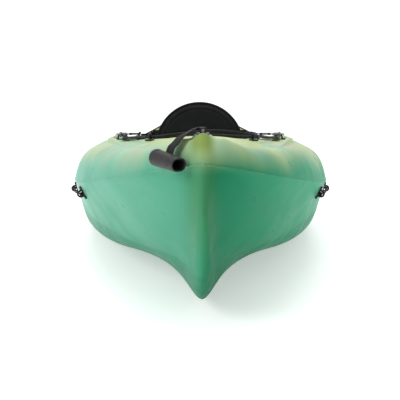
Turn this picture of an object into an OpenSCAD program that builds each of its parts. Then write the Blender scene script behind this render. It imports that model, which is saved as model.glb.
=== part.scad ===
/* [Hull] */
// Length of the hull over the bow and the stern
hull_length = 3000; // [2500:50:3600]
// Widest beam, across the gunwales
hull_beam = 790; // [650:10:940]
// Height of the gunwale line above the keel, amidships
gunwale_height = 200; // [170:2:230]
// How much higher the gunwale line is at the bow
gunwale_bow_rise = 160; // [120:2:190]
// How much higher the gunwale line is at the stern
gunwale_stern_rise = 80; // [60:2:110]
// Height of the deck below its lip, amidships
deck_height = 297; // [270:3:345]
// How much higher the deck is at the bow
deck_bow_rise = 112; // [90:2:120]
// How much higher the deck is at the stern
deck_stern_rise = 40; // [20:2:60]
// Height of the raised lip round the deck
lip_height = 13; // [8:1:16]
// Half width of the rounded stem
stem_half = 17; // [13:1:24]
// Thickness of the moulded wall
wall = 4.5; // [4:0.5:6]

/* [Hidden] */
// Every station is given in millimetres aft of the bow on a hull this long
design_length = 3000;
stretch = hull_length / design_length;
half_beam = hull_beam / 2;
// Station of the widest section
mid = 1550;

stations = [
    0, 14, 32, 60, 100, 150, 210, 280, 360, 440, 520, 600, 680, 760, 840, 900,
    930, 952, 975, 1010, 1060, 1120, 1180, 1240, 1290, 1320, 1345, 1370, 1400,
    1425, 1450, 1475, 1500, 1560, 1620, 1680, 1740, 1800, 1850, 1880, 1902, 1925,
    1960, 2000, 2030, 2055, 2080, 2120, 2180, 2250, 2330, 2410, 2490, 2570,
    2630, 2660, 2690, 2720, 2760, 2810, 2860, 2900, 2940, 2968, 2986, 3000
];
last = len(stations) - 1;

function clamp01(v) = min(1, max(0, v));
function ramp(v, a, b) = let (t = clamp01((v - a) / (b - a))) t * t * (3 - 2 * t);
function mix(a, b, t) = a + (b - a) * t;
function fore_aft(s) = (s - design_length / 2) * stretch;
// 0 at the widest section, 1 at either end
function end_part(s) = s < mid ? 1 - s / mid : (s - mid) / (design_length - mid);
function at_bow(s) = s < mid;

// The sheer drops behind the seat, beside the tank well, and comes up again at the stern
function stern_dip(s) = let (p = end_part(s))
    at_bow(s) ? 0 : ramp(p, 0, 0.5) * (1 - ramp(p, 0.52, 1));
// The foredeck falls away from its centre line towards its edges
function bow_fall(s) = 16 * ramp(s, 20, 170) * (1 - ramp(s, 300, 800));
// Half width, height of the gunwale line, of the deck edge and of the keel
function beam_at(s) = let (p = end_part(s)) half_beam * pow(max(0, 1 - p * p), 0.75);
function gunwale_at(s) = let (p = end_part(s))
    gunwale_height + (at_bow(s) ? gunwale_bow_rise : gunwale_stern_rise) * p * p - 22 * stern_dip(s);
function deck_edge_at(s) = let (p = end_part(s))
    deck_height + (at_bow(s) ? deck_bow_rise : deck_stern_rise) * pow(p, 1.35) - 72 * stern_dip(s) - bow_fall(s);
function keel_at(s) = let (p = end_part(s))
    at_bow(s) ? 270 * pow(max(0, (p - 0.34) / 0.66), 5.27)
              : 190 * pow(max(0, (p - 0.62) / 0.38), 3);

// A smooth curve that starts at the first point of a list and ends at the last
function curve(points, t) = let (
    parts = len(points) - 2,
    q = min(parts - 1, floor(t * parts)),
    w = t * parts - q,
    from = q == 0 ? points[0] : (points[q] + points[q + 1]) / 2,
    to = q == parts - 1 ? points[q + 2] : (points[q + 1] + points[q + 2]) / 2
) (1 - w) * (1 - w) * from + 2 * w * (1 - w) * points[q + 1] + w * w * to;

// The ends of the hull are rounded fore and aft as well as across
function end_round(s, z) = let (
    p = end_part(s),
    top = max(0, z - gunwale_at(s)) / (deck_edge_at(s) - gunwale_at(s)),
    low = max(0, gunwale_at(s) - z) / 300,
    way = at_bow(s) ? 1 : -1
) way * pow(p, 10) * (26 * top * top + 30 * low * low);
function hull_point(s, x, z) = [x, fore_aft(s) + end_round(s, z), z];

// Half section of the bottom, [half width, height], from the gunwale to the keel
function bottom_section(s) = let (
    p = end_part(s),
    b = beam_at(s),
    stem = b * stem_half / (b + stem_half),
    gun = gunwale_at(s),
    keel = keel_at(s),
    h = gun - keel,
    fine = clamp01((p - 0.4) / 0.6)
) at_bow(s) ? [
    [b, gun],
    [mix(stem, b, 1 - 0.273 * ramp(p, 0, 1)), keel + h * (0.6 + 0.4 * p * p)],
    [mix(stem, b, 0.93 - 0.258 * ramp(p, 0, 0.74)), keel + h * (0.18 + 0.8 * pow(p, 2.46))],
    [mix(stem, b, 0.63 * (1 - ramp(p, 0, 1.2))), keel + h * (0.24 * ramp(p, 0.05, 0.65) + 0.176 * pow(p, 2.96))],
    [stem, keel + h * 0.022 * pow(clamp01((p - 0.1) / 0.9), 2)],
    [0, keel]
] : [
    [b, gun],
    [mix(stem, b, 1 - 0.1 * pow(p, 2.5)), keel + h * (0.6 + 0.25 * p * p)],
    [mix(stem, b, 0.93 - 0.43 * p * p), keel + h * (0.18 + 0.47 * pow(p, 1.6))],
    [mix(stem, b, 0.63 - 0.53 * pow(p, 1.7)), keel + h * 0.35 * pow(fine, 1.5)],
    [stem + 0.3 * b * pow(1 - p, 1.5) * ramp(p, 0, 0.3), keel + h * 0.05 * pow(fine, 3)],
    [0, keel]
];
bottom_steps = [0, 0.1, 0.2, 0.3, 0.4, 0.5, 0.6, 0.69, 0.77, 0.84, 0.92, 1];

// The height of the bottom at a distance from the centre line
function bottom_t(s, x, lo = 0, hi = 1, n = 14) = let (m = (lo + hi) / 2)
    n == 0 ? m : curve(bottom_section(s), m)[0] > x ? bottom_t(s, x, m, hi, n - 1) : bottom_t(s, x, lo, m, n - 1);
function bottom_z(s, x) = curve(bottom_section(s), bottom_t(s, x))[1];

// Half width of the deck inside its lip, and the lip itself
function lip_at(s) = lip_height * (at_bow(s) ? ramp(s, 420, 760) : ramp(beam_at(s), 30, 150));
function deck_out(s) = 0.74 * beam_at(s);
function deck_in(s) = let (r = deck_out(s)) r - 18 * r / (r + 50);
function deck_crown(s) = at_bow(s) ? bow_fall(s) + 14 * ramp(s, 110, 480) : 8 * ramp(2960 - s, 0, 300);

/* Heights of the floors: footwells, thigh hump, seat pan, tank well */
foot_floor = 96;
hump_top = 150;
seat_floor = 92;
tank_floor = 150;
console_top = 214;
cockpit_front = 930;
cockpit_back = 1925;
tank_front = 2030;
tank_back = 2720;
wall_run = 45;
floor_edge = 0.8;
floor_top_edge = 0.86;
console_edge = 0.26;
console_foot = 0.33;
function cockpit_floor(s) = s < 1425 ? mix(foot_floor, hump_top, ramp(s, 1320, 1425))
                                     : mix(hump_top, seat_floor, ramp(s, 1425, 1500));
function in_well(s, u, front, back) = ramp(s, front, front + wall_run)
    * (1 - ramp(s, back - wall_run, back)) * (1 - ramp(u, floor_edge, floor_top_edge));
function console_here(s, u) = (1 - ramp(u, console_edge, console_foot)) * (1 - ramp(s, 1330, 1440));
function deck_z(s, u) = let (
    top = deck_edge_at(s) + deck_crown(s) * (1 - u * u),
    cockpit = in_well(s, u, cockpit_front, cockpit_back),
    tank = in_well(s, u, tank_front, tank_back),
    cockpit_z = mix(cockpit_floor(s), console_top, console_here(s, u))
) mix(mix(top, cockpit_z, cockpit), tank_floor, tank);

deck_lines = [0.93, 0.86, 0.83, 0.8, 0.66, 0.5, 0.33, 0.26, 0.13, 0];
shoulder_steps = [0, 0.25, 0.5, 0.75, 1];
function shoulder_section(s) = let (b = beam_at(s), g = gunwale_at(s), d = deck_edge_at(s), r = deck_out(s))
    [[b, g], [mix(r, b, 0.9), mix(g, d, 0.5)], [mix(r, b, 0.45), mix(g, d, 0.92)], [r, d]];
// Half section of the deck, from the gunwale over the lip to the centre line
function deck_section(s) = let (r = deck_out(s), i = deck_in(s), d = deck_edge_at(s), l = lip_at(s)) concat(
    [for (t = shoulder_steps) curve(shoulder_section(s), t)],
    [[mix(r, i, 0.2), d + l], [mix(r, i, 0.75), d + l], [i, d]],
    [for (u = deck_lines) [u * i, deck_z(s, u)]]
);

// A thin closed bowl between an outer grid of rows and its offset
function rows_of(half) = let (n = len(half))
    concat([for (k = [0 : n - 1]) half[k]],
           [for (k = [n - 2 : -1 : 0]) [-half[k][0], half[k][1]]]);
function outer_grid(halves) = [for (i = [0 : last])
    [for (q = rows_of(halves[i])) hull_point(stations[i], q[0], q[1])]];
function unit(v) = v / max(norm(v), 0.000001);
function grid_normal(g, i, j) = let (
    w = len(g[0]) - 1,
    a = g[max(i - 1, 0)][j],
    b = g[min(i + 1, last)][j],
    c = g[i][max(j - 1, 0)],
    d = g[i][min(j + 1, w)]
) unit(cross(b - a, d - c));
function inner_grid(g, side) = [for (i = [0 : last]) let (w = len(g[0]) - 1) [for (j = [0 : w]) let (
    p = g[i][j],
    ends = i == 0 || i == last,
    way = i == 0 ? 1 : -1,
    rim = j == 0 || j == w,
    n = -side * grid_normal(g, i, j)
) ends ? [0, p[1] + way * 1.6 * wall, rim ? p[2] : mix(p[2], g[i][0][2], 0.12)]
       : rim ? [p[0] - sign(p[0]) * min(wall, abs(p[0]) * 0.4), p[1], p[2]]
             : [p[0] > 0 ? max(p[0] * 0.15, p[0] + n[0] * wall)
                         : min(p[0] * 0.15, p[0] + n[0] * wall), p[1] + n[1] * wall, p[2] + n[2] * wall]]];

module bowl(halves, side) {
    outer = outer_grid(halves);
    inner = inner_grid(outer, side);
    w = len(outer[0]);
    count = w * (last + 1);
    centre = (w - 1) / 2;
    points = concat([for (row = outer) for (p = row) p], [for (row = inner) for (p = row) p]);
    function id(layer, i, j) = let (k = (i == 0 || i == last) && j > centre ? w - 1 - j : j)
        layer * count + i * w + k;
    function quad(a, b, c, d) = side > 0 ? [[a, b, c], [a, c, d]] : [[a, c, b], [a, d, c]];
    skin_out = [for (i = [0 : last - 1]) for (j = [0 : w - 2])
        for (f = quad(id(0, i, j), id(0, i, j + 1), id(0, i + 1, j + 1), id(0, i + 1, j))) f];
    skin_in = [for (i = [0 : last - 1]) for (j = [0 : w - 2])
        for (f = quad(id(1, i, j), id(1, i + 1, j), id(1, i + 1, j + 1), id(1, i, j + 1))) f];
    edge_a = [for (i = [0 : last - 1])
        for (f = quad(id(0, i, 0), id(0, i + 1, 0), id(1, i + 1, 0), id(1, i, 0))) f];
    edge_b = [for (i = [0 : last - 1])
        for (f = quad(id(0, i, w - 1), id(1, i, w - 1), id(1, i + 1, w - 1), id(0, i + 1, w - 1))) f];
    polyhedron(points, concat(skin_out, skin_in, edge_a, edge_b), convexity = 10);
}

module deck_bowl() {
    bowl([for (s = stations) deck_section(s)], 1);
}

module bottom_bowl() {
    bowl([for (s = stations) [for (t = bottom_steps) curve(bottom_section(s), t)]], -1);
}

/* Pad eyes: a screwed base and a wire arch that a cord or a hook goes through */
eye_base_length = 38;
eye_base_width = 15;
eye_base_thick = 3;
eye_screw_at = 14.6;
eye_arch = 8;
eye_leg = 5;
eye_wire = 2.5;
screw_r = 2;
screw_hole_r = 2.1;
screw_head_r = 3.8;
screw_head_h = 2.2;
screw_long = 14;
pad_rise = 3;
// Height of a cord over the base of its eye
cord_over = eye_base_thick + 5;
cord_r = 3;
keeper_cord_r = 2.5;

module stadium(long, wide) {
    square([long - wide, wide], center = true);
    for (x = [-1, 1]) translate([x * (long - wide) / 2, 0]) circle(r = wide / 2, $fn = 32);
}
module pad_eye() {
    difference() {
        linear_extrude(eye_base_thick) stadium(eye_base_length, eye_base_width);
        for (x = [-1, 1]) translate([x * eye_screw_at, 0, -1])
            cylinder(r = screw_hole_r, h = eye_base_thick + 2, $fn = 24);
    }
    for (x = [-1, 1]) translate([x * eye_arch, 0, eye_base_thick - 0.5])
        cylinder(r = eye_wire, h = eye_leg + 0.5, $fn = 24);
    translate([0, 0, eye_base_thick + eye_leg]) rotate([90, 0, 0])
        rotate_extrude(angle = 180, $fn = 48) translate([eye_arch, 0]) circle(r = eye_wire, $fn = 24);
}
module screw() {
    translate([0, 0, -screw_long]) cylinder(r = screw_r, h = screw_long + 0.5, $fn = 24);
    difference() {
        cylinder(r = screw_head_r, h = screw_head_h, $fn = 32);
        for (a = [0, 90]) rotate(a) translate([-2.2, -0.5, screw_head_h - 1.2]) cube([4.4, 1, 2]);
    }
}
module eye_screws() {
    for (x = [-1, 1]) translate([x * eye_screw_at, 0, eye_base_thick]) screw();
}
module eye_pad() {
    translate([0, 0, -9]) linear_extrude(9) stadium(eye_base_length + 4, eye_base_width + 4);
}
module eye_pad_holes() {
    for (x = [-1, 1]) translate([x * eye_screw_at, 0, -40]) cylinder(r = screw_hole_r, h = 45, $fn = 24);
}
// Puts a fitting on a point, with its own Z along a direction
module stand(at, way, turn) {
    translate(at) rotate([0, acos(way[2]), atan2(way[1], way[0])]) rotate(turn) children();
}

/* Deck fittings: [station, part of the deck's half width, turn, side] */
// A pad stands higher where the deck slopes
function slope_lift(s, u) = s > mid ? abs(deck_z(s + 20, u) - deck_z(s - 20, u)) / 2 : 0;
function deck_point(s, u, side) =
    [side * u * deck_in(s), fore_aft(s), deck_z(s, u) + pad_rise + slope_lift(s, u)];
front_eye_s = 470;
front_eye_u = 0.72;
rear_eye_s = 885;
rear_eye_u = 0.86;
fore_eyes = [for (side = [-1, 1]) each [
    [deck_point(front_eye_s, front_eye_u, side), side * -77],
    [deck_point(rear_eye_s, rear_eye_u, side), side * 65]]];
seat_eye_s = 1350;
seat_eye_u = 0.93;
back_eye_s = 1975;
back_eye_u = 0.58;
seat_eyes = [for (side = [-1, 1]) each [
    [deck_point(seat_eye_s, seat_eye_u, side), 0],
    [deck_point(back_eye_s, back_eye_u, side), side * -20]]];
tank_front_eye_s = 1990;
tank_front_eye_u = 0.87;
tank_rear_eye_s = 2756;
tank_rear_eye_u = 0.66;
tank_eyes = [for (side = [-1, 1]) each [
    [deck_point(tank_rear_eye_s, tank_rear_eye_u, side), side * 77],
    [deck_point(tank_front_eye_s, tank_front_eye_u, side), side * -65]]];
deck_eyes = concat(fore_eyes, seat_eyes, tank_eyes);
module at_eyes(list) {
    for (e = list) translate(e[0]) rotate(e[1]) children();
}

/* Flank fittings of the paddle keepers */
function flank_point(s, t, side) = let (q = curve(bottom_section(s), t)) hull_point(s, side * q[0], q[1]);
function flank_way(s, t, side) = let (
    a = flank_point(s + 20, t, side) - flank_point(s - 20, t, side),
    b = flank_point(s, t + 0.03, side) - flank_point(s, t - 0.03, side)
) unit(-side * cross(a, b));
keeper_marks = [[800, 0.05], [1120, 0.05]];
function keeper_seat(k, side) = flank_point(keeper_marks[k][0], keeper_marks[k][1], side)
    + 1.5 * flank_way(keeper_marks[k][0], keeper_marks[k][1], side);
module at_keepers(side) {
    for (k = keeper_marks) {
        way = flank_way(k[0], k[1], side);
        stand(flank_point(k[0], k[1], side) + 1.5 * way, way, 0) children();
    }
}

/* Scuppers: tubes that drain the footwells, the seat pan and the tank well */
scupper_out = 17;
scupper_in = 14;
scuppers = [[1250, 0.5, foot_floor], [1700, 0.665, seat_floor], [2120, 0.36, tank_floor]];
module at_scuppers() {
    for (s = scuppers) for (side = [-1, 1])
        translate([side * s[1] * deck_in(s[0]), fore_aft(s[0]), 0]) children();
}

/* Handles: a screwed plate with two ears, a pin, a webbing strap and a grip */
handle_plate_long = 56;
handle_plate_wide = 24;
handle_plate_thick = 4;
handle_pin_r = 3;
handle_pin_up = 9.6;
handle_web = 32;
handle_s = 80;
stern_handle_s = 2924;
function handle_seat(s) = [0, fore_aft(s), deck_z(s, 0) + 2 * pad_rise];
function handle_pin_at(s) = handle_seat(s) + [0, 0, handle_pin_up];
grip_long = 84;
grip_wide = 33;
grip_thick = 26;
grip_groove = 2.6;
bow_grip_near = [-44, fore_aft(4), 356];
bow_grip_far = [-88, fore_aft(70), 367];
bow_bend = [-46, fore_aft(54), 412];
stern_grip_near = [-44, fore_aft(2996), 288];
stern_grip_far = [-88, fore_aft(2930), 299];
stern_bend = [-46, fore_aft(2948), 344];

/* Drain plug on the stern deck */
drain_s = 2770;
drain_bore = 9;
drain_flange_r = 22;
drain_flange_h = 4;
function drain_seat() = [0, fore_aft(drain_s), deck_z(drain_s, 0) + pad_rise + slope_lift(drain_s, 0)];

module deck_shell() {
    color([0.62, 0.78, 0.66]) difference() {
        union() {
            deck_bowl();
            at_eyes(deck_eyes) eye_pad();
            for (s = [handle_s, stern_handle_s]) translate(handle_seat(s) - [0, 0, 12])
                linear_extrude(12) rotate(90) stadium(handle_plate_long + 6, handle_plate_wide + 6);
            translate(drain_seat() - [0, 0, 12]) cylinder(r = drain_flange_r + 3, h = 12, $fn = 64);
        }
        at_eyes(deck_eyes) eye_pad_holes();
        at_scuppers() translate([0, 0, 60]) cylinder(r = scupper_out, h = 140, $fn = 48);
        for (s = [handle_s, stern_handle_s]) translate(handle_seat(s)) for (y = [-1, 1])
            translate([0, y * 23, -40]) cylinder(r = screw_hole_r, h = 45, $fn = 24);
        translate(drain_seat() - [0, 0, 40]) cylinder(r = 14.2, h = 45, $fn = 48);
        translate(drain_seat() - [0, 0, 40]) drain_screw_places() cylinder(r = screw_hole_r, h = 45, $fn = 24);
    }
}

module hull_bottom_shell() {
    color([0.40, 0.66, 0.55]) difference() {
        union() {
            bottom_bowl();
            for (side = [-1, 1]) at_keepers(side) translate([0, 0, -6]) linear_extrude(6)
                stadium(eye_base_length + 4, eye_base_width + 4);
        }
        for (side = [-1, 1]) at_keepers(side) for (x = [-1, 1])
            translate([x * eye_screw_at, 0, -25]) cylinder(r = screw_hole_r, h = 30, $fn = 24);
        at_scuppers() translate([0, 0, -5]) cylinder(r = scupper_out, h = 40, $fn = 48);
    }
}

module foam_block(s, long, wide, low, high) {
    translate([-wide / 2, fore_aft(s), low]) cube([wide, long, high - low]);
}
module bow_foam() {
    color([0.93, 0.93, 0.90]) foam_block(560, 260, 50, 60, 300);
}
module stern_foam() {
    color([0.93, 0.93, 0.90]) foam_block(2150, 300, 50, 12, 140);
}
module scupper_tubes() {
    color([0.55, 0.72, 0.62]) for (s = scuppers) for (side = [-1, 1]) {
        x = s[1] * deck_in(s[0]);
        low = bottom_z(s[0], x - scupper_out);
        high = bottom_z(s[0], x + scupper_out);
        translate([side * x, fore_aft(s[0]), 0]) difference() {
            cylinder(r = scupper_out, h = s[2], $fn = 48);
            translate([0, 0, -1]) cylinder(r = scupper_in, h = s[2] + 2, $fn = 48);
            if (high > 0.2) translate([0, 0, (low + high) / 2])
                rotate([0, side * -atan((high - low) / (2 * scupper_out)), 0])
                    translate([-40, -40, -60]) cube([80, 80, 60]);
        }
    }
}

module foredeck_pad_eyes() {
    color([0.08, 0.08, 0.09]) at_eyes(fore_eyes) pad_eye();
}
module foredeck_eye_screws() {
    color([0.7, 0.7, 0.72]) at_eyes(fore_eyes) eye_screws();
}
module seat_pad_eyes() {
    color([0.08, 0.08, 0.09]) at_eyes(seat_eyes) pad_eye();
}
module seat_eye_screws() {
    color([0.7, 0.7, 0.72]) at_eyes(seat_eyes) eye_screws();
}
module tank_pad_eyes() {
    color([0.08, 0.08, 0.09]) at_eyes(tank_eyes) pad_eye();
}
module tank_eye_screws() {
    color([0.7, 0.7, 0.72]) at_eyes(tank_eyes) eye_screws();
}
module keeper_pad_eyes() {
    color([0.08, 0.08, 0.09]) for (side = [-1, 1]) at_keepers(side) pad_eye();
}
module keeper_eye_screws() {
    color([0.7, 0.7, 0.72]) for (side = [-1, 1]) at_keepers(side) eye_screws();
}

// A round cord along a smooth line through a list of control points
module cord(route, radius, rings, sides) {
    line = [for (k = [0 : rings]) curve(route, k / rings)];
    n = rings + 1;
    points = [for (k = [0 : rings]) let (
        t = unit(line[min(k + 1, rings)] - line[max(k - 1, 0)]),
        a = unit(cross(t, [0, 0, 1])),
        b = cross(a, t)
    ) for (m = [0 : sides - 1]) line[k] + radius * (cos(360 * m / sides) * a + sin(360 * m / sides) * b)];
    faces = concat(
        [[for (m = [sides - 1 : -1 : 0]) m]],
        [[for (m = [0 : sides - 1]) rings * sides + m]],
        [for (k = [0 : rings - 1]) for (m = [0 : sides - 1]) each [
            [k * sides + m, (k + 1) * sides + (m + 1) % sides, (k + 1) * sides + m],
            [k * sides + m, k * sides + (m + 1) % sides, (k + 1) * sides + (m + 1) % sides]]]
    );
    polyhedron(points, faces, convexity = 6);
}
// Control points that carry a cord in through an eye and back beside itself
function through(eye, way) = let (
    c = eye[0] + [0, 0, cord_over],
    t = way * [-sin(eye[1]), cos(eye[1]), 0],
    back = sign(c[0]) * -1 * [cos(eye[1]), sin(eye[1]), 0]
) [c - 11 * t + 13 * back, c - 9 * t, c + 9 * t, c + 11 * t + 13 * back];
// The middle of a lacing run, held just over the deck by the run that it crosses
function crossing(a, b, over) = [for (m = [0.36, 0.5, 0.64]) let (p = mix(a, b, m), s = p[1] / stretch + design_length / 2)
    [p[0], p[1], deck_edge_at(s) + deck_crown(s) + over - 20 * abs(m - 0.5)]];
// A cord laced as a crossed loop through four eyes, both its ends in one knot
function laced(eyes, knot, way, low, high) = concat(
    [knot, knot + [-8, 6 * way, 0]],
    through(eyes[1], way),
    through(eyes[0], way),
    crossing(eyes[0][0], eyes[3][0], high),
    through(eyes[3], way),
    through(eyes[2], way),
    crossing(eyes[2][0], knot, low),
    [knot + [14, 12 * way, 1], knot]
);
cord_low = 8;
cord_high = 17;
knot_r = 7.5;
fore_knot = fore_eyes[1][0] + [36, -38, 11];
fore_route = laced(fore_eyes, fore_knot, -1, cord_low, cord_high);
tank_knot = tank_eyes[1][0] + [36, 38, 11];
tank_route = laced(tank_eyes, tank_knot, 1, cord_low, cord_high);
module foredeck_bungee() {
    color([0.10, 0.10, 0.11]) {
        cord(fore_route, cord_r, 3 * (len(fore_route) - 2), 8);
        translate(fore_knot) sphere(r = knot_r, $fn = 24);
    }
}

keeper_knot_r = 5.5;
module tank_bungee() {
    color([0.10, 0.10, 0.11]) {
        cord(tank_route, cord_r, 3 * (len(tank_route) - 2), 8);
        translate(tank_knot) sphere(r = knot_r, $fn = 24);
    }
}
function keeper_line(side) = let (
    a = keeper_seat(0, side) + cord_over * flank_way(keeper_marks[0][0], keeper_marks[0][1], side),
    b = keeper_seat(1, side) + cord_over * flank_way(keeper_marks[1][0], keeper_marks[1][1], side),
    m = flank_point(955, 0.05, side) + 9.5 * flank_way(955, 0.05, side),
    d = unit(b - a)
) [a - 17 * d, a + 6 * d, 2 * m - (a + b) / 2, b - 6 * d, b + 17 * d];
module keeper_bungee(side) {
    color([0.10, 0.10, 0.11]) {
        line = keeper_line(side);
        cord(line, keeper_cord_r, 40, 8);
        for (e = [line[0], line[4]]) translate(e) sphere(r = keeper_knot_r, $fn = 24);
    }
}
module left_keeper_bungee() {
    keeper_bungee(-1);
}
module right_keeper_bungee() {
    keeper_bungee(1);
}

/* Seat: a padded base, a padded back that folds about a rod, and its webbing */
seat_half = 200;
seat_base_front = 1508;
pad_thick = 28;
back_s = 1850;
back_up = 34;
back_thick = 34;
back_arc = 166;
back_arc_up = 123;
back_low = 12;
back_lean = 8;
rod_r = 4;
rod_bore_r = 4.06;
back_pivot = [0, fore_aft(back_s), seat_floor + back_up];
module seat_base() {
    color([0.12, 0.12, 0.13]) translate([0, 0, seat_floor]) linear_extrude(pad_thick)
        translate([0, (fore_aft(seat_base_front) + back_pivot[1] - 26) / 2])
            rounded_box(1.6 * seat_half, back_pivot[1] - 26 - fore_aft(seat_base_front), 45);
}
module rounded_box(wide, long, r) {
    square([wide - 2 * r, long], center = true);
    square([wide, long - 2 * r], center = true);
    for (x = [-1, 1]) for (y = [-1, 1]) translate([x * (wide / 2 - r), y * (long / 2 - r)])
        circle(r = r, $fn = 48);
}
module leaned() {
    translate(back_pivot) rotate([-back_lean, 0, 0]) children();
}
module back_outline() {
    intersection() {
        union() {
            translate([0, back_arc_up]) circle(r = back_arc, $fn = 96);
            translate([0, 70]) rounded_box(2 * seat_half - 8, 2 * (70 + back_low), 40);
            translate([-seat_half + 14, -back_low]) square([2 * seat_half - 28, 30]);
        }
        translate([-300, -back_low]) square([600, 500]);
    }
}
module seat_back() {
    color([0.10, 0.10, 0.11]) leaned() difference() {
        translate([0, back_thick / 2 - 5, 0]) rotate([90, 0, 0]) linear_extrude(back_thick - 5) back_outline();
        rotate([0, 90, 0]) cylinder(r = rod_bore_r, h = 600, center = true, $fn = 32);
    }
}
module seat_back_shell() {
    color([0.16, 0.16, 0.17]) leaned() translate([0, back_thick / 2, 30])
        rotate([90, 0, 0]) linear_extrude(5) translate([0, 93]) circle(r = 130, $fn = 96);
}
module seat_rod() {
    color([0.6, 0.6, 0.62]) translate(back_pivot) rotate([0, 90, 0])
        cylinder(r = rod_r, h = 2 * seat_half + 24, center = true, $fn = 32);
}
module seat_rod_brackets() {
    color([0.15, 0.15, 0.16]) for (x = [-1, 1]) translate([x * (seat_half + 6), back_pivot[1], seat_floor])
        difference() {
            translate([-4, -14, 0]) cube([8, 28, back_up + 12]);
            translate([0, 0, back_up]) rotate([0, 90, 0]) cylinder(r = rod_r, h = 20, center = true, $fn = 32);
        }
}

/* Webbing between two points, lying flat */
web_thick = 2;
web_wide = 25;
module webbing(a, b, wide) {
    d = b - a;
    translate(a) rotate([0, -asin(d[2] / norm(d)), atan2(d[1], d[0])])
        translate([0, -wide / 2, -web_thick / 2]) cube([norm(d), wide, web_thick]);
}
// A hook's ring lies in the eye, its square end carries the webbing
hook_ring = 7.5;
hook_wire = 2;
hook_long = 30;
hook_wide = 35;
function eye_top(e) = e[0] + [0, 0, eye_base_thick + eye_leg + eye_arch];
module snap_hook(e, way) {
    translate(eye_top(e)) rotate(e[1] + way) {
        translate([0, 0, 0]) rotate([0, 90, 0]) rotate_extrude($fn = 48) translate([hook_ring, 0])
            circle(r = hook_wire, $fn = 24);
        translate([0, hook_ring, 0]) rotate([-90, 0, 0]) cylinder(r = 2.5, h = 9, $fn = 24);
        for (y = [hook_ring + 8, hook_long]) translate([-hook_wide / 2, y, 0])
            rotate([0, 90, 0]) cylinder(r = 2.5, h = hook_wide, $fn = 24);
        for (x = [-hook_wide / 2, hook_wide / 2]) translate([x, hook_ring + 8, 0])
            rotate([-90, 0, 0]) cylinder(r = 2.5, h = hook_long - hook_ring - 8, $fn = 24);
    }
}
function hook_end(e, way) = let (a = e[1] + way, c = eye_top(e))
    c + [-sin(a) * hook_long, cos(a) * hook_long, 0];
module web_eye(at, turn) {
    translate(at) rotate(turn) rotate([0, 90, 0]) difference() {
        cylinder(r = 2.9 + web_thick, h = web_wide, center = true, $fn = 32);
        cylinder(r = 2.7, h = web_wide + 2, center = true, $fn = 32);
    }
}
front_tilt = 10;
tab_x = 178;
function toward(a, b, d) = a + d * unit(b - a);
function front_end(side) = [side * (tab_x + web_thick + web_wide / 2), back_pivot[1] + 38, 291];
function front_hook(side) = hook_end(seat_eyes[side < 0 ? 0 : 2], side * front_tilt);
function rear_end(side) = [side * 128, back_pivot[1] + 51, 300];
function rear_hook(side) = hook_end(seat_eyes[side < 0 ? 1 : 3], 180);
module seat_front_strap(side) {
    color([0.09, 0.09, 0.10]) {
        web_eye(front_hook(side), seat_eyes[side < 0 ? 0 : 2][1] + side * front_tilt);
        webbing(toward(front_hook(side), front_end(side), 4), front_end(side), web_wide);
    }
}
module left_front_strap() {
    seat_front_strap(-1);
}
module right_front_strap() {
    seat_front_strap(1);
}
module seat_rear_strap(side) {
    color([0.09, 0.09, 0.10]) {
        web_eye(rear_hook(side), seat_eyes[side < 0 ? 1 : 3][1]);
        webbing(toward(rear_hook(side), rear_end(side), 5.6), rear_end(side), web_wide - 2);
    }
}
module left_rear_strap() {
    seat_rear_strap(-1);
}
module right_rear_strap() {
    seat_rear_strap(1);
}
module front_snap_hooks() {
    color([0.30, 0.30, 0.32]) for (side = [-1, 1])
        snap_hook(seat_eyes[side < 0 ? 0 : 2], side * front_tilt);
}
module rear_snap_hooks() {
    color([0.30, 0.30, 0.32]) for (side = [-1, 1])
        snap_hook(seat_eyes[side < 0 ? 1 : 3], 180);
}
// A three-bar slide that sets each strap's length; its slots clear the webbing
adjuster_long = 34;
module adjuster(a, b, part) {
    d = b - a;
    translate(a + part * d) rotate([0, -asin(d[2] / norm(d)), atan2(d[1], d[0])]) difference() {
        translate([-adjuster_long / 2, -web_wide / 2 - 4, -4]) cube([adjuster_long, web_wide + 8, 8]);
        translate([-adjuster_long, -web_wide / 2 - 0.3, -web_thick / 2 - 0.3])
            cube([2 * adjuster_long, web_wide + 0.6, web_thick + 0.6]);
        for (x = [-1, 1]) translate([x * 8 - 4, -web_wide / 2, -9]) cube([8, web_wide, 18]);
    }
}
module strap_adjusters() {
    color([0.07, 0.07, 0.08]) for (side = [-1, 1]) {
        adjuster(front_hook(side), front_end(side), 0.42);
    }
}
module seat_back_tabs() {
    color([0.09, 0.09, 0.10]) leaned() for (side = [-1, 1])
        translate([side * (tab_x - 12) - 11.5, back_thick / 2 - 5, 145]) cube([23, 3, 40]);
}

/* Carrying handles */
module handle_ears(s) {
    translate(handle_seat(s)) for (y = [-1, 1]) difference() {
        translate([-6, y * 14.5 - 2, handle_plate_thick - 0.5]) cube([12, 4, handle_pin_up + 1.5]);
        translate([0, y * 14.5, handle_pin_up]) rotate([90, 0, 0])
            cylinder(r = handle_pin_r, h = 8, center = true, $fn = 32);
    }
}
module handle_anchor(s) {
    color([0.10, 0.10, 0.11]) {
        translate(handle_seat(s)) difference() {
            linear_extrude(handle_plate_thick) rotate(90) stadium(handle_plate_long, handle_plate_wide);
            for (y = [-1, 1]) translate([0, y * 23, -1]) cylinder(r = screw_hole_r, h = 8, $fn = 24);
        }
        handle_ears(s);
    }
}
module handle_screws(s) {
    color([0.7, 0.7, 0.72]) translate(handle_seat(s)) for (y = [-1, 1])
        translate([0, y * 23, handle_plate_thick]) screw();
}
module handle_pin(s) {
    color([0.6, 0.6, 0.62]) translate(handle_pin_at(s)) rotate([90, 0, 0])
        cylinder(r = handle_pin_r, h = 33, center = true, $fn = 32);
}
module along(near, far) {
    d = far - near;
    translate((near + far) / 2) rotate([0, acos(d[2] / norm(d)), atan2(d[1], d[0])]) children();
}
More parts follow.
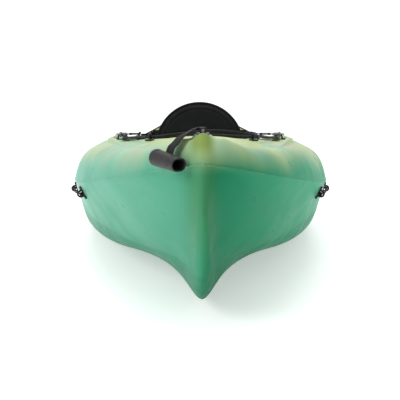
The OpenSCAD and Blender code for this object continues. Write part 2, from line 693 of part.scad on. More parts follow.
module grip_body(near, far) {
    groove = handle_web / 2 + 1.5;
    color([0.28, 0.27, 0.27]) along(near, far) difference() {
        union() {
            for (z = [-1, 1]) translate([0, 0, z * (grip_long / 4 + groove / 2)])
                linear_extrude(grip_long / 2 - groove, center = true) rotate(90) stadium(grip_wide, grip_thick);
            linear_extrude(2 * groove + 1, center = true) rotate(90)
                stadium(grip_wide - 2 * grip_groove, grip_thick - 2 * grip_groove);
        }
        linear_extrude(grip_long + 2, center = true) rotate(90) stadium(grip_wide - 12, grip_thick - 12);
    }
}
module handle_strap(s, near, far, bend) {
    pin = handle_pin_at(s);
    d = far - near;
    mid_grip = (near + far) / 2;
    color([0.08, 0.08, 0.09]) {
        translate(pin) rotate([90, 0, 0]) difference() {
            cylinder(r = handle_pin_r + 0.06 + web_thick, h = 24, center = true, $fn = 48);
            cylinder(r = handle_pin_r + 0.06, h = 26, center = true, $fn = 48);
        }
        along(near, far) difference() {
            linear_extrude(handle_web, center = true) rotate(90)
                stadium(grip_wide - 2 * grip_groove + 0.6 + 2 * web_thick, grip_thick - 2 * grip_groove + 0.6 + 2 * web_thick);
            linear_extrude(handle_web + 2, center = true) rotate(90)
                stadium(grip_wide - 2 * grip_groove + 0.6, grip_thick - 2 * grip_groove + 0.6);
        }
        turn = atan2(near[1] + far[1] - 2 * pin[1], -(near[0] + far[0]));
        hull() {
            translate(pin + [-2, 0, handle_pin_r + 1.1]) cube([3, 20, 1.9], center = true);
            translate(pin + [-11, 0, handle_pin_r + 0.9]) cube([2, 20, 1.9], center = true);
        }
        hull() {
            translate(pin + [-11, 0, handle_pin_r + 0.9]) cube([2, 20, 1.9], center = true);
            translate(bend) rotate(turn / 2) cube([2, 22, 2], center = true);
        }
        hull() {
            translate(bend) rotate(turn / 2) cube([2, 22, 2], center = true);
            along(near, far) translate([-(grip_thick / 2 - grip_groove + 0.3 + web_thick) + 1, 0, 0])
                cube([1.6, 3, handle_web - 6], center = true);
        }
    }
}
module bow_handle_anchor() {
    handle_anchor(handle_s);
}
module bow_handle_screws() {
    handle_screws(handle_s);
}
module bow_handle_pin() {
    handle_pin(handle_s);
}
module bow_handle_strap() {
    handle_strap(handle_s, bow_grip_near, bow_grip_far, bow_bend);
}
module bow_handle_grip() {
    grip_body(bow_grip_near, bow_grip_far);
}
module stern_handle_anchor() {
    handle_anchor(stern_handle_s);
}
module stern_handle_screws() {
    handle_screws(stern_handle_s);
}
module stern_handle_pin() {
    handle_pin(stern_handle_s);
}
module stern_handle_strap() {
    handle_strap(stern_handle_s, stern_grip_near, stern_grip_far, stern_bend);
}
module stern_handle_grip() {
    grip_body(stern_grip_near, stern_grip_far);
}

/* Drain */
drain_screw_at = 17.8;
module drain_screw_places() {
    for (a = [30, 150, 270]) rotate(a) translate([drain_screw_at, 0, 0]) children();
}
module drain_flange() {
    color([0.10, 0.10, 0.11]) translate(drain_seat()) difference() {
        union() {
            cylinder(r = drain_flange_r, h = drain_flange_h, $fn = 64);
            translate([0, 0, -16]) cylinder(r = 14, h = 17, $fn = 48);
        }
        translate([0, 0, -20]) cylinder(r = drain_bore + 0.06, h = 30, $fn = 48);
        drain_screw_places() translate([0, 0, -1]) cylinder(r = screw_hole_r, h = 8, $fn = 24);
    }
}
module drain_screws() {
    color([0.7, 0.7, 0.72]) translate(drain_seat() + [0, 0, drain_flange_h]) drain_screw_places() screw();
}
seal_thick = 2;
module drain_seal() {
    color([0.18, 0.18, 0.18]) translate(drain_seat() + [0, 0, drain_flange_h]) difference() {
        cylinder(r = 12.5, h = seal_thick, $fn = 48);
        translate([0, 0, -1]) cylinder(r = drain_bore + 0.06, h = seal_thick + 2, $fn = 48);
    }
}
module drain_plug() {
    color([0.08, 0.08, 0.09]) translate(drain_seat() + [0, 0, drain_flange_h + seal_thick]) {
        translate([0, 0, -17]) cylinder(r = drain_bore, h = 18, $fn = 48);
        difference() {
            cylinder(r = 12.5, h = 5, $fn = 64);
            for (a = [0 : 30 : 330]) rotate(a) translate([14, 0, -1]) cylinder(r = 2.4, h = 8, $fn = 24);
        }
        translate([-8, -1.8, 4.5]) cube([16, 3.6, 6]);
    }
}

deck_shell();
hull_bottom_shell();
bow_foam();
stern_foam();
scupper_tubes();
foredeck_pad_eyes();
foredeck_eye_screws();
foredeck_bungee();
tank_pad_eyes();
tank_eye_screws();
tank_bungee();
keeper_pad_eyes();
keeper_eye_screws();
left_keeper_bungee();
right_keeper_bungee();
seat_pad_eyes();
seat_eye_screws();
front_snap_hooks();
rear_snap_hooks();
left_front_strap();
right_front_strap();
left_rear_strap();
right_rear_strap();
strap_adjusters();
seat_base();
seat_back();
seat_back_shell();
seat_back_tabs();
seat_rod();
seat_rod_brackets();
bow_handle_anchor();
bow_handle_screws();
bow_handle_pin();
bow_handle_strap();
bow_handle_grip();
stern_handle_anchor();
stern_handle_screws();
stern_handle_pin();
stern_handle_strap();
stern_handle_grip();
drain_flange();
drain_screws();
drain_seal();
drain_plug();
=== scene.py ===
import math
from contextlib import contextmanager

import bmesh
import bpy
import numpy as np
from mathutils import Matrix, Vector


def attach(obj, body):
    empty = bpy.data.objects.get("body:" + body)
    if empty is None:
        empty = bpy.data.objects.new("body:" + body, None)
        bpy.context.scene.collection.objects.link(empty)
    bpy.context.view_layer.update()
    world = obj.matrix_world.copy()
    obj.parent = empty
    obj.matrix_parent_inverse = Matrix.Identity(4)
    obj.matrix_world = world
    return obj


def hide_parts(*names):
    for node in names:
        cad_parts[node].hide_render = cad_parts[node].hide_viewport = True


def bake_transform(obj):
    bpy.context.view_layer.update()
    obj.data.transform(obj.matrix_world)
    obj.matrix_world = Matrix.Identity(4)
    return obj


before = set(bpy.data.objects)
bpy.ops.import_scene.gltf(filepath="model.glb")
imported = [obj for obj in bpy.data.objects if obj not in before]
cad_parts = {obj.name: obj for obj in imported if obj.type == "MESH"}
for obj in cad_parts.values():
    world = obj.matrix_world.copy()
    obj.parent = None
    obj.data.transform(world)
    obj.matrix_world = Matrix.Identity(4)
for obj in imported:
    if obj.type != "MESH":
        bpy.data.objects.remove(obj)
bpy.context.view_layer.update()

# ---------------------------------------------------------------- camera

CAMERA_FROM_BOW = 1.65
CAMERA_HEIGHT = 0.523
CAMERA_TILT = 7.78
CAMERA_YAW = -0.22
HALF = 1.5


def make_camera():
    data = bpy.data.cameras.new("camera")
    data.lens = 84.3
    data.sensor_width = 36.0
    data.clip_start, data.clip_end = 0.05, 60
    cam = bpy.data.objects.new("camera", data)
    bpy.context.scene.collection.objects.link(cam)
    cam.location = (-0.012, -HALF - CAMERA_FROM_BOW, CAMERA_HEIGHT)
    cam.rotation_euler = (math.radians(90 - CAMERA_TILT), 0, math.radians(CAMERA_YAW))
    bpy.context.scene.camera = cam


make_camera()

# ---------------------------------------------------------------- the hull's surface
# the same lines as the CAD's, in millimetres; stations run from the bow aft

BEAM = 395.0
MID = 1550.0
LENGTH = 3000.0
STEM = 17.0
LIP = 13.0
GUNWALE, GUNWALE_BOW, GUNWALE_STERN = 200, 160, 80
DECK, DECK_BOW, DECK_STERN = 297, 112, 40
COCKPIT = (930, 1925)
TANK = (2030, 2720)
FOOT_FLOOR, HUMP_TOP, SEAT_FLOOR, TANK_FLOOR, CONSOLE_TOP = 96.0, 150.0, 92.0, 150.0, 214.0


def clamp01(v):
    return np.clip(v, 0, 1)


def ramp(v, a, b):
    t = clamp01((v - a) / (b - a))
    return t * t * (3 - 2 * t)


def mix(a, b, t):
    return a + (b - a) * t


def end_part(s):
    return np.where(s < MID, 1 - s / MID, (s - MID) / (LENGTH - MID))


def beam_at(s):
    return BEAM * np.maximum(0, 1 - end_part(s) ** 2) ** 0.75


def stern_dip(s):
    p = end_part(s)
    return np.where(s < MID, 0, ramp(p, 0, 0.5) * (1 - ramp(p, 0.52, 1)))


def bow_fall(s):
    return 16 * ramp(s, 20, 170) * (1 - ramp(s, 300, 800))


def gunwale_at(s):
    return GUNWALE + np.where(s < MID, GUNWALE_BOW, GUNWALE_STERN) * end_part(s) ** 2 - 22 * stern_dip(s)


def deck_edge_at(s):
    rise = np.where(s < MID, DECK_BOW, DECK_STERN)
    return DECK + rise * end_part(s) ** 1.35 - 72 * stern_dip(s) - bow_fall(s)


def keel_at(s):
    p = end_part(s)
    return np.where(
        s < MID,
        270 * np.maximum(0, (p - 0.34) / 0.66) ** 5.27,
        190 * np.maximum(0, (p - 0.62) / 0.38) ** 3,
    )


def curve(points, t):
    # points: list of arrays (..., 2); t: scalar
    parts = len(points) - 2
    q = min(parts - 1, int(math.floor(t * parts)))
    w = t * parts - q
    a = points[0] if q == 0 else (points[q] + points[q + 1]) / 2
    c = points[q + 2] if q == parts - 1 else (points[q + 1] + points[q + 2]) / 2
    return (1 - w) ** 2 * a + 2 * w * (1 - w) * points[q + 1] + w * w * c


def end_round(s, z):
    p = end_part(s)
    g = gunwale_at(s)
    top = np.maximum(0, z - g) / (deck_edge_at(s) - g)
    low = np.maximum(0, g - z) / 300
    return np.where(s < MID, 1, -1) * p**10 * (26 * top**2 + 30 * low**2)


def bottom_points(s):
    p = end_part(s)
    b = beam_at(s)
    stem = b * STEM / (b + STEM)
    g = gunwale_at(s)
    k = keel_at(s)
    h = g - k
    fine = clamp01((p - 0.4) / 0.6)
    bow = [
        (b, g),
        (mix(stem, b, 1 - 0.273 * ramp(p, 0, 1)), k + h * (0.6 + 0.4 * p * p)),
        (mix(stem, b, 0.93 - 0.258 * ramp(p, 0, 0.74)), k + h * (0.18 + 0.8 * p**2.46)),
        (mix(stem, b, 0.63 * (1 - ramp(p, 0, 1.2))), k + h * (0.24 * ramp(p, 0.05, 0.65) + 0.176 * p**2.96)),
        (stem, k + h * 0.022 * clamp01((p - 0.1) / 0.9) ** 2),
        (0 * b, k),
    ]
    stern = [
        (b, g),
        (mix(stem, b, 1 - 0.1 * p**2.5), k + h * (0.6 + 0.25 * p * p)),
        (mix(stem, b, 0.93 - 0.43 * p * p), k + h * (0.18 + 0.47 * p**1.6)),
        (mix(stem, b, 0.63 - 0.53 * p**1.7), k + h * 0.35 * fine**1.5),
        (stem + 0.3 * b * (1 - p) ** 1.5 * ramp(p, 0, 0.3), k + h * 0.05 * fine**3),
        (0 * b, k),
    ]
    ahead = s < MID
    rows = [(np.where(ahead, m[0], n[0]), np.where(ahead, m[1], n[1])) for m, n in zip(bow, stern)]
    return [np.stack(r, -1) for r in rows]


def lip_at(s):
    return LIP * np.where(s < MID, ramp(s, 420, 760), ramp(beam_at(s), 30, 150))


def deck_out(s):
    return 0.74 * beam_at(s)


def deck_in(s):
    r = deck_out(s)
    return r - 18 * r / (r + 50)


def deck_crown(s):
    return np.where(s < MID, bow_fall(s) + 14 * ramp(s, 110, 480), 8 * ramp(2960 - s, 0, 300))


def cockpit_floor(s):
    ahead = mix(FOOT_FLOOR, HUMP_TOP, ramp(s, 1320, 1425))
    return np.where(s < 1425, ahead, mix(HUMP_TOP, SEAT_FLOOR, ramp(s, 1425, 1500)))


def in_well(s, u, front, back):
    return ramp(s, front, front + 45) * (1 - ramp(s, back - 45, back)) * (1 - ramp(u, 0.8, 0.86))


def console_here(s, u):
    return (1 - ramp(u, 0.26, 0.33)) * (1 - ramp(s, 1330, 1440))


def deck_z(s, u):
    top = deck_edge_at(s) + deck_crown(s) * (1 - u * u)
    cockpit = in_well(s, u, *COCKPIT)
    tank = in_well(s, u, *TANK)
    floor = mix(cockpit_floor(s), CONSOLE_TOP, console_here(s, u))
    return mix(mix(top, floor, cockpit), TANK_FLOOR, tank)


def fore_aft(s):
    return s - LENGTH / 2


# ---------------------------------------------------------------- fittings' places, as in the CAD

PAD_RISE = 3.0
EYE_BASE = 3.0
EYE_LEG = 5.0
EYE_ARCH = 8.0
CORD_OVER = EYE_BASE + 5.0
CORD_R = 3.0


def slope_lift(s, u):
    # a pad stands higher where the deck slopes
    return abs(deck_z(s + 20, u) - deck_z(s - 20, u)) / 2 if s > MID else 0.0


def deck_point(s, u, side):
    s = np.float64(s)
    return np.array([side * u * deck_in(s), fore_aft(s), deck_z(s, u) + PAD_RISE + slope_lift(s, u)])


def four_eyes(front, rear, turn_front, turn_rear):
    out = []
    for side in (-1, 1):
        out.append((deck_point(*front, side), side * turn_front))
        out.append((deck_point(*rear, side), side * turn_rear))
    return out


fore_eyes = four_eyes((470, 0.72), (885, 0.86), -77, 65)
seat_eyes = four_eyes((1350, 0.93), (1975, 0.58), 0, -20)
tank_eyes = four_eyes((2756, 0.66), (1990, 0.87), 77, -65)
deck_eyes = fore_eyes + seat_eyes + tank_eyes


def flank_point(s, t, side):
    s = np.float64(s)
    q = curve(bottom_points(s), t)
    return np.array([side * q[0], fore_aft(s) + end_round(s, q[1]), q[1]])


def unit(v):
    return v / max(np.linalg.norm(v), 1e-9)


def flank_way(s, t, side):
    a = flank_point(s + 20, t, side) - flank_point(s - 20, t, side)
    b = flank_point(s, t + 0.03, side) - flank_point(s, t - 0.03, side)
    return unit(-side * np.cross(a, b))


KEEPERS = [(800, 0.05), (1120, 0.05)]
SCUPPERS = [(1250, 0.5, FOOT_FLOOR), (1700, 0.665, SEAT_FLOOR), (2120, 0.36, TANK_FLOOR)]
HANDLES = [80.0, 2924.0]
DRAIN = 2770.0

# ---------------------------------------------------------------- mesh helpers


def link(obj):
    bpy.context.scene.collection.objects.link(obj)
    return obj


def shade_smooth(mesh):
    mesh.polygons.foreach_set("use_smooth", [True] * len(mesh.polygons))


def new_mesh(name, verts, faces, uvs=None, scale=0.001):
    me = bpy.data.meshes.new(name)
    me.from_pydata([tuple(float(c) * scale for c in v) for v in verts], [], faces)
    me.update()
    shade_smooth(me)
    if uvs is not None:
        layer = me.uv_layers.new(name="UVMap")
        loops = np.zeros(len(me.loops), int)
        me.loops.foreach_get("vertex_index", loops)
        layer.data.foreach_set("uv", np.asarray(uvs, np.float32)[loops].ravel())
    return link(bpy.data.objects.new(name, me))


def grid_faces(rows, cols, wrap=False, flip=False):
    out = []
    for i in range(rows - 1):
        for j in range(cols if wrap else cols - 1):
            k = (j + 1) % cols
            f = (i * cols + j, i * cols + k, (i + 1) * cols + k, (i + 1) * cols + j)
            out.append(f[::-1] if flip else f)
    return out


def smooth_line(points, per):
    # a Catmull-Rom curve through the points
    p = np.asarray(points, float)
    p = np.vstack([2 * p[0] - p[1], p, 2 * p[-1] - p[-2]])
    out = []
    for k in range(1, len(p) - 2):
        a, b, c, d = p[k - 1], p[k], p[k + 1], p[k + 2]
        for t in np.linspace(0, 1, per, endpoint=False):
            bend = (2 * a - 5 * b + 4 * c - d) * t**2
            out.append(0.5 * (2 * b + (c - a) * t + bend + (3 * b - a - 3 * c + d) * t**3))
    out.append(p[-2])
    return np.array(out)


def bspline_line(points, per):
    pts = [np.asarray(q, float) for q in points]
    n = (len(pts) - 2) * per
    return np.array([curve(pts, k / n) for k in range(n + 1)])


def frames_along(line):
    t = np.gradient(line, axis=0)
    t /= np.linalg.norm(t, axis=1)[:, None] + 1e-12
    a = np.cross(t[0], (0, 0, 1))
    if np.linalg.norm(a) < 1e-3:
        a = np.cross(t[0], (1, 0, 0))
    a = unit(a)
    out = []
    for k in range(len(line)):
        a = unit(a - t[k] * np.dot(a, t[k]))
        out.append((a, np.cross(a, t[k])))
    return out


def run_length(line):
    return np.concatenate([[0], np.cumsum(np.linalg.norm(np.diff(line, axis=0), axis=1))])


def end_caps(faces, rows, cols):
    faces.append(tuple(reversed(range(cols))))
    faces.append(tuple(range((rows - 1) * cols, rows * cols)))
    return faces


def tube(name, line, radius, sides, cap=True):
    line = np.asarray(line, float)
    fr = frames_along(line)
    length = run_length(line)
    r = np.broadcast_to(radius, len(line))
    verts, uvs = [], []
    for k, c in enumerate(line):
        a, b = fr[k]
        for m in range(sides):
            g = 2 * math.pi * m / sides
            verts.append(c + r[k] * (math.cos(g) * a + math.sin(g) * b))
            uvs.append((m / sides, length[k] * 0.001))
    faces = grid_faces(len(line), sides, wrap=True, flip=True)
    if cap:
        faces.append(tuple(range(sides)))
        faces.append(tuple(reversed(range((len(line) - 1) * sides, len(line) * sides))))
    return new_mesh(name, verts, faces, uvs=uvs)


def ribbon(name, line, across, width, thick):
    # a flat strap along a line, its width along the given direction or directions
    line = np.asarray(line, float)
    across = np.asarray(across, float)
    if across.ndim == 1:
        across = np.tile(across, (len(line), 1))
    t = np.gradient(line, axis=0)
    length = run_length(line)
    shape = []
    r = thick / 2
    for side, start in ((1, -90), (-1, 90)):
        flat = side * (width / 2 - r)
        for g in np.radians(np.linspace(start, start + 180, 5)):
            shape.append((flat + r * math.cos(g), r * math.sin(g)))
        for u in np.linspace(flat, -flat, 9)[1:-1]:
            shape.append((u, side * r))
    n = len(shape)
    verts, uvs = [], []
    for k, c in enumerate(line):
        w = unit(across[k] - t[k] * np.dot(across[k], t[k]) / max(np.dot(t[k], t[k]), 1e-9))
        up = unit(np.cross(w, t[k]))
        for u, v in shape:
            verts.append(c + u * w + v * up)
            uvs.append((u * 0.001, length[k] * 0.001))
    faces = end_caps(grid_faces(len(line), n, wrap=True), len(line), n)
    return new_mesh(name, verts, faces, uvs)


def join(name, objs):
    bpy.ops.object.select_all(action="DESELECT")
    for o in objs:
        o.select_set(True)
    bpy.context.view_layer.objects.active = objs[0]
    bpy.ops.object.join()
    out = bpy.context.view_layer.objects.active
    out.name = name
    out.data.name = name
    return out


@contextmanager
def edited(obj):
    bm = bmesh.new()
    bm.from_mesh(obj.data)
    yield bm
    bm.to_mesh(obj.data)
    bm.free()


def fix_normals(obj):
    with edited(obj) as bm:
        bmesh.ops.recalc_face_normals(bm, faces=bm.faces)
    return obj


def place(obj, mat):
    obj.data.materials.clear()
    obj.data.materials.append(mat)


def settle(obj, mat, body, node=None):
    # gives a piece its material and slot, the body it moves with and the CAD node it stands for
    place(obj, mat)
    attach(obj, body)
    if node:
        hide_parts(node)


# ---------------------------------------------------------------- materials


class Nodes:
    """A short way to write a node material."""

    def __init__(self, name):
        self.mat = bpy.data.materials.new(name)
        self.mat.use_nodes = True
        self.tree = self.mat.node_tree
        self.tree.nodes.clear()
        self.out = self.add("ShaderNodeOutputMaterial")
        self.bsdf = self.add("ShaderNodeBsdfPrincipled")
        self.tree.links.new(self.bsdf.outputs[0], self.out.inputs[0])

    def add(self, kind, **values):
        n = self.tree.nodes.new(kind)
        for k, v in values.items():
            setattr(n, k, v)
        return n

    def put(self, socket, value):
        if isinstance(value, bpy.types.NodeSocket):
            self.tree.links.new(value, socket)
        elif isinstance(value, (tuple, list)) and len(value) == 3 and socket.type == "RGBA":
            socket.default_value = (*value, 1)
        else:
            socket.default_value = value

    def set(self, **sockets):
        for k, v in sockets.items():
            self.put(self.bsdf.inputs[k.replace("_", " ")], v)

    def coords(self, kind="Object"):
        return self.add("ShaderNodeTexCoord").outputs[kind]

    def split(self, vector):
        n = self.add("ShaderNodeSeparateXYZ")
        self.put(n.inputs[0], vector)
        return n.outputs

    def pair(self, kind, op, a, b):
        n = self.add(kind, operation=op)
        self.put(n.inputs[0], a)
        self.put(n.inputs[1], b)
        return n.outputs[0]

    def maths(self, op, a, b=0.0):
        return self.pair("ShaderNodeMath", op, a, b)

    def times(self, a, b):
        return self.maths("MULTIPLY", a, b)

    def sum(self, a, b):
        return self.maths("ADD", a, b)

    def wave(self, value, pitch):
        return self.maths("SINE", self.times(value, 2 * math.pi / pitch))

    def scaled(self, vector, scale):
        return self.pair("ShaderNodeVectorMath", "MULTIPLY", vector, scale)

    def plus(self, a, b):
        return self.pair("ShaderNodeVectorMath", "ADD", a, b)

    def noise(self, vector, scale, detail=3.0, rough=0.5, distort=0.0, colour=False):
        n = self.add("ShaderNodeTexNoise")
        self.put(n.inputs["Vector"], vector)
        self.put(n.inputs["Scale"], scale)
        self.put(n.inputs["Detail"], detail)
        self.put(n.inputs["Roughness"], rough)
        self.put(n.inputs["Distortion"], distort)
        return n.outputs["Color" if colour else "Fac"]

    def steps(self, value, low, high, to_low=0.0, to_high=1.0, smooth=True):
        n = self.add("ShaderNodeMapRange", interpolation_type="SMOOTHSTEP" if smooth else "LINEAR")
        self.put(n.inputs["Value"], value)
        for k, v in zip(("From Min", "From Max", "To Min", "To Max"), (low, high, to_low, to_high)):
            self.put(n.inputs[k], v)
        return n.outputs[0]

    def blend(self, fac, a, b):
        n = self.add("ShaderNodeMix", data_type="RGBA", blend_type="MIX")
        self.put(n.inputs[0], fac)
        self.put(n.inputs[6], a)
        self.put(n.inputs[7], b)
        return n.outputs[2]

    def bump(self, height, distance, strength=1.0, under=None):
        n = self.add("ShaderNodeBump")
        self.put(n.inputs["Height"], height)
        n.inputs["Distance"].default_value = distance
        n.inputs["Strength"].default_value = strength
        if under is not None:
            self.put(n.inputs["Normal"], under)
        return n.outputs[0]


def lin(*rgb):
    return tuple((c / 255 / 12.92) if c / 255 <= 0.04045 else ((c / 255 + 0.055) / 1.055) ** 2.4 for c in rgb)


def hull_plastic(name):
    # rotomoulded polyethylene: colours poured together, so they swirl into one another
    n = Nodes(name)
    o = n.coords()
    x, y, z = n.split(o)
    drift = n.noise(n.scaled(o, (1.6, 0.7, 2.2)), 1.7, 2.0, 0.5, 0.0, True)
    warp = n.scaled(n.plus(drift, (-0.5,) * 3), (0.55,) * 3)
    w = n.plus(o, warp)
    # lower hull: a grey teal with deeper green swirls
    swirl = n.noise(n.scaled(w, (1.0, 0.5, 1.2)), 2.3, 4.0, 0.55, 0.6)
    out = n.steps(n.maths("ABSOLUTE", x), 0.0, 0.36, 0.0, 1.0, False)
    teal = n.blend(out, lin(62, 138, 110), lin(122, 180, 160))
    low = n.blend(n.times(n.steps(swirl, 0.40, 0.62), 0.45), teal, lin(54, 136, 104))
    # painted shade: right of the stem the teal turns to a darker copy, the side turned away from the key
    # light
    side = n.steps(x, -0.010, 0.016)
    low = n.blend(side, low, n.blend(out, lin(12, 106, 72), lin(68, 160, 124)))
    # darker green towards the keel: partly the hull's own colour, partly painted shade on the downward-facing
    # bottom
    low_tone_and_shade = n.steps(n.sum(z, n.times(n.noise(o, 3.0, 2.0), 0.06)), 0.21, 0.03)
    low = n.blend(n.times(low_tone_and_shade, 0.62), low, lin(10, 94, 60))
    # painted shade: the hull turns a little darker below a wavering line at the chine, where the bottom faces
    # down
    ripple = n.times(n.noise(n.scaled(o, (1.0, 0.5, 1.0)), 5.0), 0.03)
    below_chine_shade = n.steps(n.sum(z, ripple), 0.148, 0.142)
    low = n.blend(n.times(below_chine_shade, 0.22), low, lin(10, 96, 62))
    # the stem runs to olive green
    stem = n.steps(n.maths("ABSOLUTE", n.sum(x, 0.006)), 0.045, 0.004)
    fore = n.steps(y, -1.10, -1.42)
    olive = n.times(n.times(stem, fore), n.steps(z, 0.08, 0.30))
    low = n.blend(n.times(olive, 0.6), low, lin(62, 116, 70))
    # deck: pale cream green with yellow and faint pink clouds
    cloud = n.noise(n.scaled(w, (1.1, 0.6, 1.0)), 3.1, 3.0, 0.5, 0.4)
    cream = n.blend(n.steps(cloud, 0.42, 0.60), lin(152, 188, 160), lin(176, 190, 138))
    pink = n.noise(n.plus(w, (3.1, 1.7, 0.4)), 3.7, 2.0, 0.5, 0.3)
    cream = n.blend(n.times(n.steps(pink, 0.56, 0.70), 0.55), cream, lin(186, 170, 150))
    # the line between them climbs towards the bow and wanders
    line = n.sum(0.250, n.times(n.steps(y, -0.2, -1.45, 0.0, 1.0, False), 0.122))
    drift = n.maths("SUBTRACT", n.noise(n.scaled(o, (1.0, 0.8, 0.3)), 4.2, 3.0), 0.5)
    wander = n.times(drift, 0.11)
    height = n.maths("SUBTRACT", n.sum(z, wander), line)
    top = n.steps(height, -0.040, 0.044)
    colour = n.blend(top, low, cream)
    nose = n.times(n.steps(y, -1.30, -1.46), n.steps(z, 0.362, 0.398))
    nose = n.times(nose, n.steps(n.maths("ABSOLUTE", n.sum(x, 0.002)), 0.030, 0.010))
    colour = n.blend(n.times(nose, 0.85), colour, lin(112, 136, 62))
    # a fine pale fleck all over
    fleck = n.noise(o, 900.0, 1.0, 0.5)
    colour = n.blend(n.times(n.steps(fleck, 0.62, 0.80), 0.06), colour, lin(200, 205, 190))
    # long light scuffs along the keel
    scratch = n.noise(n.scaled(o, (60.0, 1.2, 60.0)), 5.0, 2.0, 0.6)
    keel = n.steps(z, 0.06, 0.0)
    wear = n.times(n.times(n.steps(scratch, 0.56, 0.70), keel), 0.30)
    colour = n.blend(wear, colour, lin(96, 140, 120))
    peel = n.noise(o, 260.0, 2.0, 0.6)
    sag = n.noise(n.scaled(o, (1.0, 0.6, 1.0)), 9.0, 2.0, 0.5)
    rough = n.sum(n.steps(n.noise(o, 14.0, 3.0), 0.3, 0.7, 0.27, 0.40), n.times(wear, 0.3))
    n.set(Base_Color=colour, Roughness=rough, IOR=1.045)
    n.bsdf.inputs["Subsurface Weight"].default_value = 0.06
    n.bsdf.inputs["Subsurface Radius"].default_value = (0.006, 0.010, 0.008)
    n.bsdf.inputs["Subsurface Scale"].default_value = 1.0
    n.set(Normal=n.bump(peel, 0.0002, 0.3, n.bump(sag, 0.003, 0.12)))
    return n.mat


def black_plastic(name, base=(0.006, 0.006, 0.0065), rough=0.46, grain=900.0):
    n = Nodes(name)
    o = n.coords()
    patch = n.noise(o, 35.0, 3.0)
    colour = n.blend(n.steps(patch, 0.35, 0.7), base, tuple(c * 1.6 for c in base))
    edge = n.noise(o, 220.0, 2.0)
    n.set(Base_Color=colour, Roughness=n.steps(edge, 0.3, 0.7, rough - 0.07, rough + 0.09), IOR=1.40)
    n.set(Normal=n.bump(n.noise(o, grain, 2.0, 0.6), 0.00015, 0.5))
    return n.mat


def steel(name):
    n = Nodes(name)
    o = n.coords()
    brushed = n.noise(n.scaled(o, (30.0, 400.0, 400.0)), 6.0, 2.0)
    shade = n.blend(n.steps(brushed, 0.3, 0.7), (0.20, 0.20, 0.21), (0.30, 0.30, 0.31))
    n.set(Base_Color=shade, Metallic=1.0)
    n.set(Roughness=n.steps(brushed, 0.3, 0.7, 0.22, 0.36))
    n.set(Normal=n.bump(brushed, 0.00005, 0.4))
    return n.mat


def weave(name, base, pitch_u=0.0016, pitch_v=0.0022, ribs=0.0):
    # woven tape: warp and weft cross at the pitch of the real yarn
    n = Nodes(name)
    u, v, _ = n.split(n.coords("UV"))
    height = n.sum(n.times(n.times(n.wave(u, pitch_u), n.wave(v, pitch_v)), 0.5), 0.5)
    if ribs:
        rib = n.maths("ABSOLUTE", n.maths("SINE", n.times(u, math.pi / ribs)))
        height = n.sum(n.times(height, 0.5), n.times(rib, 0.5))
    fade = n.noise(n.coords(), 22.0, 3.0)
    light = tuple(min(1, c * 2.1 + 0.004) for c in base)
    colour = n.blend(n.times(height, 0.7), base, light)
    colour = n.blend(n.times(n.steps(fade, 0.45, 0.75), 0.35), colour, light)
    n.set(Base_Color=colour, Roughness=0.78)
    n.bsdf.inputs["Specular IOR Level"].default_value = 0.25
    n.set(Normal=n.bump(height, 0.0004, 0.7))
    return n.mat


def cloth_fabric(name, base):
    # coated polyester: a fine plain weave in object space, with creases
    n = Nodes(name)
    o = n.coords()
    x, y, z = n.split(o)
    yarn = n.sum(n.times(n.times(n.wave(x, 0.0011), n.wave(n.sum(y, z), 0.0011)), 0.5), 0.5)
    crease = n.noise(n.scaled(o, (1.0, 1.0, 1.6)), 26.0, 4.0, 0.6, 0.8)
    dust = n.noise(o, 9.0, 3.0)
    light = tuple(min(1, c * 1.9 + 0.003) for c in base)
    colour = n.blend(n.times(yarn, 0.5), base, light)
    colour = n.blend(n.times(n.steps(dust, 0.5, 0.8), 0.25), colour, light)
    n.set(Base_Color=colour, Roughness=n.steps(crease, 0.3, 0.7, 0.72, 0.86))
    n.bsdf.inputs["Specular IOR Level"].default_value = 0.22
    n.set(Normal=n.bump(yarn, 0.00025, 0.5, n.bump(crease, 0.0015, 0.35)))
    return n.mat


def braid(name, base, fleck):
    # bungee cover: two sets of yarn wound both ways round the core
    n = Nodes(name)
    u, v, _ = n.split(n.coords("UV"))
    turn = n.times(u, 2 * math.pi * 4)
    run = n.times(v, 2 * math.pi / 0.006)
    a = n.maths("SINE", n.sum(turn, run))
    b = n.maths("SINE", n.maths("SUBTRACT", turn, run))
    height = n.maths("MAXIMUM", a, b)
    colour = n.blend(n.steps(n.times(a, b), 0.55, 0.75), base, fleck)
    n.set(Base_Color=colour, Roughness=0.7)
    n.bsdf.inputs["Specular IOR Level"].default_value = 0.25
    n.set(Normal=n.bump(height, 0.0004, 0.6))
    return n.mat


def foam(name):
    n = Nodes(name)
    o = n.coords()
    cell = n.noise(o, 320.0, 2.0)
    n.set(Base_Color=n.blend(cell, (0.78, 0.78, 0.74), (0.88, 0.88, 0.86)), Roughness=0.85)
    n.set(Normal=n.bump(cell, 0.0006, 0.6))
    return n.mat


M_HULL = hull_plastic("hull_polyethylene")
M_BLACK = black_plastic("black_nylon")
M_GRIP = black_plastic("grip_rubber", base=(0.011, 0.0105, 0.0105), rough=0.55, grain=600.0)
M_STEEL = steel("stainless")
M_WEB = weave("webbing", (0.004, 0.004, 0.0045), ribs=0.0042)
M_BIND = weave("binding", (0.0035, 0.0035, 0.004), 0.0012, 0.0016)
M_PAD = cloth_fabric("pad_fabric", (0.0045, 0.0045, 0.005))
M_PAD_BACK = cloth_fabric("pad_back_fabric", (0.0042, 0.0042, 0.0046))
M_THREAD = weave("thread", (0.012, 0.012, 0.013), 0.0008, 0.0012)
M_CORD = braid("bungee_braid", (0.005, 0.005, 0.0055), (0.02, 0.02, 0.02))
M_FOAM = foam("foam")
M_SEAL = black_plastic("seal_rubber", base=(0.03, 0.03, 0.03), rough=0.65)

# ---------------------------------------------------------------- hull skins


